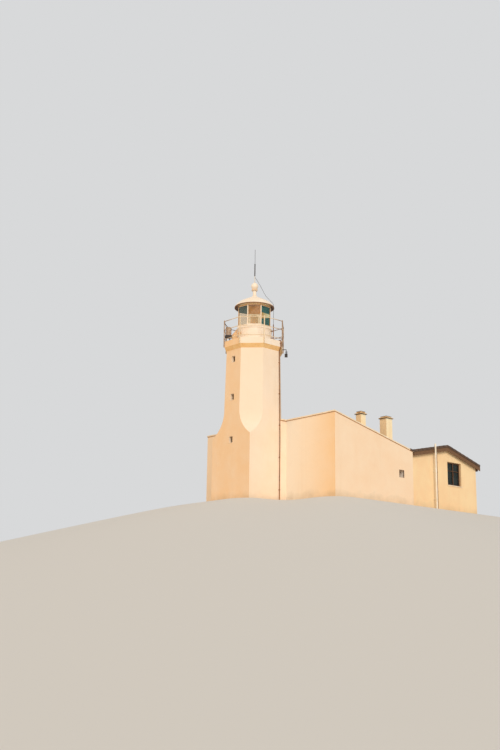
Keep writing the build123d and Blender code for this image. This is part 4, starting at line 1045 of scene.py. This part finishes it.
def make_drum_ironwork():
    """Riveted straps and bands on the lantern's drum, its door's frame and a bent vent."""
    low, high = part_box("lantern_drum")
    radius = high.x
    door_low, door_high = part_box("gallery_door")
    skin = radius - 0.001
    strap_turn = 1.6
    rivet_turn = 0.9
    rivet_count = 9
    rivet_pitch = 0.062
    upper_band = high.z - 0.04
    straps = bmesh.new()
    rivets = bmesh.new()
    for angle in side_angles(lantern_turn + half_side):
        if degrees_apart(angle, door_angle) > 20:
            add_curved_plate(straps, skin, 0.006, angle, strap_turn, low.z + 0.055, upper_band)
            for rivet in range(rivet_count):
                z = low.z + 0.09 + rivet_pitch * rivet
                for turn in (-rivet_turn, rivet_turn):
                    add_rivet(rivets, facing(angle + turn, radius + 0.004, z), 0.008, 0.005)
    parts = 5
    band_height = 0.045
    for start, end in ((98, 262), (262, 442)):
        half = (end - start) / parts / 2
        for z in (low.z + 0.005, upper_band):
            for part in range(parts):
                middle = start + half * (2 * part + 1)
                if z == upper_band or degrees_apart(middle, door_angle) > 15 + half:
                    add_curved_plate(straps, skin, 0.007, middle, half, z, z + band_height)

    rim = 0.03
    rim_turn = 1.4
    thickness = 0.012
    foot, head = door_low.z - rim, door_high.z + rim
    side = math.degrees(math.asin(door_high.x / radius))
    for angle in (door_angle - side - rim_turn, door_angle + side + rim_turn):
        add_curved_plate(straps, skin, thickness, angle, rim_turn, foot, head)
    add_curved_plate(straps, skin, thickness, door_angle, side, door_high.z, head)
    add_curved_plate(straps, skin, thickness, door_angle, side, foot, door_low.z)
    for z in (door_low.z + 0.09, door_high.z - 0.09):
        add_curved_plate(straps, skin, 0.016, door_angle + side - 4, 5, z - 0.018, z + 0.018)
    grip = ((0, -0.06), (0.03, -0.05), (0.038, 0), (0.03, 0.05), (0, 0.06))
    grip_angle = door_angle - side + 4
    handle = [polar(radius + reach, grip_angle, door_low.z + 0.26 + rise) for reach, rise in grip]
    add_tube(straps, handle, 0.007, 8)
    make_piece("drum_straps", straps, "white_iron")
    make_piece("drum_rivets", rivets, "white_iron")

    vent_height = 8.33
    route = [polar(radius + 0.005, vent_angle, vent_height + 0.04)]
    for reach, rise in arc_through((0.0, 0.02), (0.075, 0.095), (0.15, 0.02), 12):
        route.append(polar(radius + 0.03 + reach * 0.7, vent_angle, vent_height + rise - 0.02))
    route.append(polar(radius + 0.135, vent_angle, vent_height - 0.08))
    vent = bmesh.new()
    add_tube(vent, route, 0.032, 12)
    make_piece("drum_vent", vent, "white_iron")


def make_glazing_trim():
    """Beads round the panes, and riveted round strips on the posts."""
    sill, top = (corner.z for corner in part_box("lantern_posts"))
    glass_line = glazing_apothem - lantern_post / 2
    bead = 0.022
    pane = glass_line + 0.004
    half = glass_line * math.tan(math.radians(half_side)) - lantern_post / 2
    corner = glass_line / math.cos(math.radians(half_side)) + lantern_post / 2
    beads = bmesh.new()
    for angle in side_angles(lantern_turn):
        for z in (sill, top - bead):
            add_block(beads, facing(angle), (pane, -half, z), (pane + 0.012, half, z + bead))
    make_piece("pane_beads", beads, "white_iron", bevel=0.002)
    strips = bmesh.new()
    for angle in side_angles(lantern_turn + half_side):
        add_upright(strips, polar(corner, angle, sill), top - sill, 0.009, 10)
        for z in (sill + 0.06, (sill + top) / 2, top - 0.06):
            add_rivet(strips, facing(angle, corner + 0.010, z), 0.010, 0.008)
    make_piece("post_strips", strips, "white_iron")


def make_roof_ironwork():
    """Standing seams on the dome, a lip under its rim, and the ventilator's flange."""
    roof_low, roof_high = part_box("lantern_roof")
    rim = roof_low.z
    reach = roof_high.x
    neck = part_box("ventilator_neck")[1]
    profile = arc_through((reach, 0), dome_shoulder, dome_crown, 16)
    profile += arc_through(dome_crown, dome_flare, dome_top, 10)[1:]
    seam = ((-1, -0.5), (-0.5, 1), (0.5, 1), (1, -0.5))
    seams = bmesh.new()
    for angle in side_angles(lantern_turn + half_side):
        place = facing(angle)
        loops = []
        for radius, height in profile:
            half = 0.011 if radius > 0.13 else 0.006
            foot = Vector((radius, 0, rim + height))
            up = Vector((0.35 + radius * 0.5, 0, 1)).normalized() * 0.009
            loops.append([place @ (foot + Vector((0, half * y, 0)) + up * rise) for y, rise in seam])
        add_loops(seams, loops)
    collar = [(0.100, -0.012), (0.104, 0), (0.100, 0.014), (0.086, 0.018)]
    add_lathe(seams, Matrix.Translation((0, 0, rim + dome_top[1])), collar, 32)
    make_piece("roof_seams", seams, "white_iron", smooth=60)

    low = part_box("roof_rim")[0].z
    lip_profile = [
        (reach - 0.030, low - 0.006), (reach - 0.004, low - 0.006), (reach + 0.004, low + 0.004),
        (reach + 0.002, low + 0.02), (reach - 0.01, low + 0.018), (reach - 0.030, low - 0.006),
    ]
    lip = bmesh.new()
    add_lathe(lip, Matrix(), lip_profile, 96, capped=False)
    make_piece("rim_lip", lip, "rim_brown")

    flange = neck.z - 0.03
    bolts = bmesh.new()
    count = 6
    for step in range(count):
        place = facing(360 / count * (step + 0.5), 0.122, flange - 0.045)
        add_lathe(bolts, place, [(0.013, 0), (0.013, 0.014), (0.007, 0.018)], 6)
    make_piece("flange_bolts", bolts, "dark_iron")
    outer = neck.x + 0.004
    inner = outer - 0.01
    ring = bmesh.new()
    ring_profile = [(inner, -0.018), (outer, -0.014), (outer, 0.014), (inner, 0.018)]
    add_lathe(ring, Matrix.Translation((0, 0, flange)), ring_profile, 48)
    make_piece("flange_ring", ring, "white_iron")


def make_light():
    """A drum lens of stacked prisms round a burner, as it shows through the panes."""
    low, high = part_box("light_lens")
    radius = high.x
    rings = 15
    step = (high.z - low.z) / rings
    inner = radius - 0.05
    outline = []
    for ring in range(rings):
        base = low.z + step * ring
        bulge = radius - 0.022 * abs(2 * ring / (rings - 1) - 1)
        first, last = (0.35, 0.95) if ring > rings / 2 else (0.05, 0.65)
        outline += [(bulge - 0.014, base), (bulge, base + step * first), (bulge, base + step * last)]
    outline += [(radius - 0.036, high.z), (inner, high.z), (inner, low.z), outline[0]]
    lens = bmesh.new()
    add_lathe(lens, Matrix(), outline, 48, capped=False)
    make_piece("ribbed_lens", lens, "lens_glass", "light_lens", smooth=40)

    centre = Matrix.Translation((0, 0, low.z))
    stem = [(0.07, 0), (0.07, 0.02), (0.03, 0.04), (0.03, 0.14), (0.05, 0.15), (0.05, 0.18), (0.02, 0.19)]
    bar = 0.008
    burner = bmesh.new()
    add_lathe(burner, centre, stem, 20)
    for quarter in range(4):
        place = facing(20 + 90 * quarter, radius + 0.004)
        add_block(burner, place, (0, -bar, low.z), (bar, bar, high.z + 0.02))
    make_piece("burner", burner, "lens_metal")
    envelope = [(0.018, 0.19), (0.03, 0.215), (0.045, 0.26), (0.047, 0.30), (0.035, 0.345), (0.012, 0.365)]
    bulb = bmesh.new()
    add_lathe(bulb, centre, envelope, 20)
    make_piece("lamp_bulb", bulb, "lens_glass", smooth=60)


def make_gallery_lamp():
    """A ribbed glass, a wire guard and a knob on the small lamp at the gallery's corner."""
    low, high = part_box("gallery_lamp_glass")
    centre = (low + high) / 2
    radius = (high.x - low.x) / 2
    height = high.z - low.z
    place = Matrix.Translation((centre.x, centre.y, low.z))
    ribs = 11
    rib_height = height / ribs
    valley = radius - 0.010
    inner = radius - 0.016
    outline = []
    for rib in range(ribs):
        outline += [(valley, rib_height * rib), (radius, rib_height * (rib + 0.5))]
    shape = bmesh.new()
    add_lathe(shape, place, outline + [(valley, height), (inner, height), (inner, 0)], 40)
    make_piece("lamp_ribbed_glass", shape, "clear_glass", "gallery_lamp_glass", smooth=40)

    wire = 0.004
    reach = radius + 0.012
    guard = bmesh.new()
    wires = 6
    for step in range(wires):
        add_upright(guard, place @ polar(reach, 360 / wires * step), height, wire, 8)
    for level in (0.33, 0.67):
        ring = [place @ Vector((x, y, height * level)) for x, y in circle(reach, 24)]
        add_tube(guard, ring + ring[:1], wire, 6)
    cap_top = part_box("gallery_lamp_stand")[1].z - high.z
    knob = [(0.05, min(0.04, cap_top)), (0.052, 0.052), (0.03, 0.062), (0.022, 0.08), (0.008, 0.09)]
    add_lathe(guard, place @ Matrix.Translation((0, 0, height)), knob, 20)
    make_piece("lamp_guard", guard, "dark_iron")


def make_floodlight():
    """Cooling ribs round the floodlight."""
    low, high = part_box("gallery_floodlight")
    back = Vector((high.x, high.y, 0)).length - 0.17
    middle = (low.z + high.z) / 2
    half = 0.082
    shape = bmesh.new()
    count = 5
    pitch = 0.022
    for rib in range(count):
        reach = back + pitch * rib
        corner = (reach + 0.006, half, middle + 0.090)
        add_block(shape, facing(floodlight_angle), (reach, -half, middle - 0.112), corner)
    make_piece("floodlight_ribs", shape, "dark_iron", bevel=0.002)


def make_locker_lid():
    """A boarded lid with a lip on the locker by the drum, its strap hinges and a hasp."""
    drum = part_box("lantern_drum")[1]
    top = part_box("gallery_slab")[1].z + locker_front_height
    place = facing(locker_angle)
    fall = Vector((locker_reach - drum.x, 0, top - drum.z))
    along = fall.normalized()
    out = Vector((-along.z, 0, along.x))

    def add_slat(shape, left, right, start, end, low, high):
        """A flat bar that lies down the lid's slope."""
        corners = ((start, low), (end, low), (end, high), (start, high))
        add_loops(shape, [
            [place @ (Vector((drum.x, y, drum.z)) + along * down + out * rise) for down, rise in corners]
            for y in (left, right)
        ])

    boards = 4
    gap = 0.002
    lip = 0.012
    board = 0.018
    width = locker_width / boards
    lid = bmesh.new()
    for index in range(boards):
        left = -locker_width / 2 + width * index
        add_slat(lid, left + gap, left + width - gap, lip, fall.length + lip, 0.0, board)
    make_piece("locker_lid", lid, "brown_wood", bevel=0.003)
    strap = 0.014
    metal = bmesh.new()
    for y in (-0.13, 0.13):
        add_slat(metal, y - strap, y + strap, 0.03, fall.length * 0.8, board, board + 0.005)
    front = locker_reach
    add_block(metal, place, (front, -0.016, top - 0.085), (front + 0.006, 0.016, top - 0.015))
    add_block(metal, place, (front, -0.011, top - 0.115), (front + 0.018, 0.011, top - 0.075))
    make_piece("locker_ironwork", metal, "rusty_iron", bevel=0.0015)


def make_pipe_fittings():
    """Sockets and a cowl on the vent pipe, and a cable with its clips up the gable."""
    low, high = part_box("vent_pipe")
    pipe = Vector((high.x - pipe_radius, (low.y + high.y) / 2, 0))
    socket = [(0.0452, -0.05), (0.0445, 0.04), (0.0445, 0.05), (0.0420, 0.055)]
    cowl = [(0.044, -0.03), (0.045, 0.0), (0.045, 0.014), (0.030, 0.022), (0.012, 0.026)]
    sockets = bmesh.new()
    for z, profile in ((0.9, socket), (2.1, socket), (2.9, socket), (high.z, cowl)):
        add_lathe(sockets, Matrix.Translation(pipe + Vector((0, 0, z))), profile, 28)
    make_piece("pipe_sockets", sockets, "white_pipe")

    cable_radius = 0.012
    clip = 0.022
    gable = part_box("wing_gables")[1].x
    spot = Vector((gable + cable_radius, pipe.y + gable_cable_gap, 0))
    cable = bmesh.new()
    add_upright(cable, spot, gable_cable_top, cable_radius, 10)
    clips = 5
    clip_pitch = 0.5
    for step in range(clips):
        place = Matrix.Translation(spot + Vector((0, 0, clip_pitch * (step + 1))))
        add_block(cable, place, (-cable_radius, -clip, 0), (0.014, clip, 0.02))
    make_piece("gable_cable", cable, "rusty_iron")


def camera_axes():
    """The direction from the building to the camera, and the camera's right, up and forward."""
    azimuth, pitch, yaw, roll = (
        math.radians(angle) for angle in (camera_azimuth, camera_pitch, camera_yaw, camera_roll)
    )
    up = Vector((0, 0, 1))
    back = Vector((math.sin(azimuth), -math.cos(azimuth), 0))
    right = Vector((math.cos(azimuth), math.sin(azimuth), 0))
    ahead = right * math.sin(yaw) - back * math.cos(yaw)
    side = right * math.cos(yaw) + back * math.sin(yaw)
    forward = ahead * math.cos(pitch) + up * math.sin(pitch)
    over = up * math.cos(pitch) - ahead * math.sin(pitch)
    camera_right = side * math.cos(roll) + over * math.sin(roll)
    camera_up = over * math.cos(roll) - side * math.sin(roll)
    return back, camera_right, camera_up, forward


def add_camera():
    """The camera, at the photograph's viewing angle."""
    back, right, up, forward = camera_axes()
    data = bpy.data.cameras.new("camera")
    data.sensor_fit = "VERTICAL"
    data.sensor_height = camera_sensor
    data.lens = camera_lens
    data.clip_end = camera_reach
    camera = add_object("camera", data)
    place = back * camera_distance + Vector((0, 0, camera_height))
    camera.matrix_world = Matrix.Translation(place) @ Matrix((right, up, -forward)).transposed().to_4x4()
    bpy.context.scene.camera = camera


def rectangle_distance(x, y, low, high):
    """How far a point lies outside a rectangle on the ground."""
    return math.hypot(max(low[0] - x, 0, x - high[0]), max(low[1] - y, 0, y - high[1]))


def add_ground():
    """The plain ground, level round the walls and falling away from them."""
    tower_low, tower_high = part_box("tower_rear_corners")
    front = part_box("tower_front_corners")[0].y
    house_low, house_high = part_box("side_walls")
    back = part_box("wing_back_wall")[1].y
    tower = ((tower_low.x, front), (tower_high.x, tower_high.y))
    house = ((house_low.x, house_low.y), (house_high.x, back))
    middle = (front + back) / 2

    def height(x, y):
        """The ground's height, which dips less where the two outlines meet."""
        near = [rectangle_distance(x, y, *shape) for shape in (tower, house)]
        overlap = max(ground_blend - abs(near[0] - near[1]), 0) / ground_blend
        distance = max(min(near) - overlap * overlap * ground_blend / 4 - ground_margin, 0)
        return ground_rounding - math.hypot(ground_slope * distance, ground_rounding)

    radii = [ground_step * step for step in range(1, ground_fine_rings)]
    while radii[-1] < ground_reach:
        radii.append(radii[-1] * ground_growth)
    loops = []
    for radius in radii:
        spots = [(x, middle + y) for x, y in circle(radius, ground_spokes)]
        loops.append([Vector((x, y, height(x, y))) for x, y in spots])
    shape = bmesh.new()
    add_loops(shape, loops, capped=False)
    bmesh.ops.holes_fill(shape, edges=[edge for edge in shape.edges if edge.is_boundary], sides=0)
    paint = Paint("ground", 0.9)
    paint.colour(tint(ground_colour))
    add_mesh("ground", shape, paint)


def add_sun(name, sun):
    """A soft sun that shines from a direction."""
    data = bpy.data.lights.new(name, "SUN")
    data.color = tint(sun["colour"])[:3]
    data.energy = sun["strength"]
    data.angle = math.radians(sun["softness"])
    turn, rise = math.radians(sun["azimuth"]), math.radians(sun["height"])
    towards = Vector((math.sin(turn) * math.cos(rise), -math.cos(turn) * math.cos(rise), math.sin(rise)))
    add_object(name, data).rotation_euler = (-towards).to_track_quat("-Z", "Y").to_euler()


def add_light():
    """Two suns in an even world, which shows as the plain backdrop, in metal and glass too."""
    world = bpy.data.worlds.new("world")
    world.use_nodes = True
    bpy.context.scene.world = world
    world.node_tree.nodes.clear()
    sky = Nodes(world.node_tree)
    rays = sky.node("LightPath").outputs
    seen = rays["Is Camera Ray"]
    for ray in ("Is Glossy Ray", "Is Transmission Ray"):
        seen = sky.maths("MAXIMUM", seen, rays[ray])
    light = sky.node("Background", (1, 1, 1, 1), world_light)
    backdrop = sky.node("Background", tint(backdrop_colour))
    mixed = sky.node("MixShader", seen, light.outputs[0], backdrop.outputs[0])
    sky.node("OutputWorld", mixed.outputs[0])
    add_sun("key", key_sun)
    add_sun("side", side_sun)


bpy.context.scene.view_settings.view_transform = "Standard"
dress_nodes()
make_roofs()
make_copings()
make_saddles()
make_chimney_strips()
make_slit_trim()
make_windows()
make_door()
make_railing_joints()
make_drum_ironwork()
make_glazing_trim()
make_roof_ironwork()
make_light()
make_gallery_lamp()
make_floodlight()
make_locker_lid()
make_pipe_fittings()
add_ground()
add_camera()
add_light()
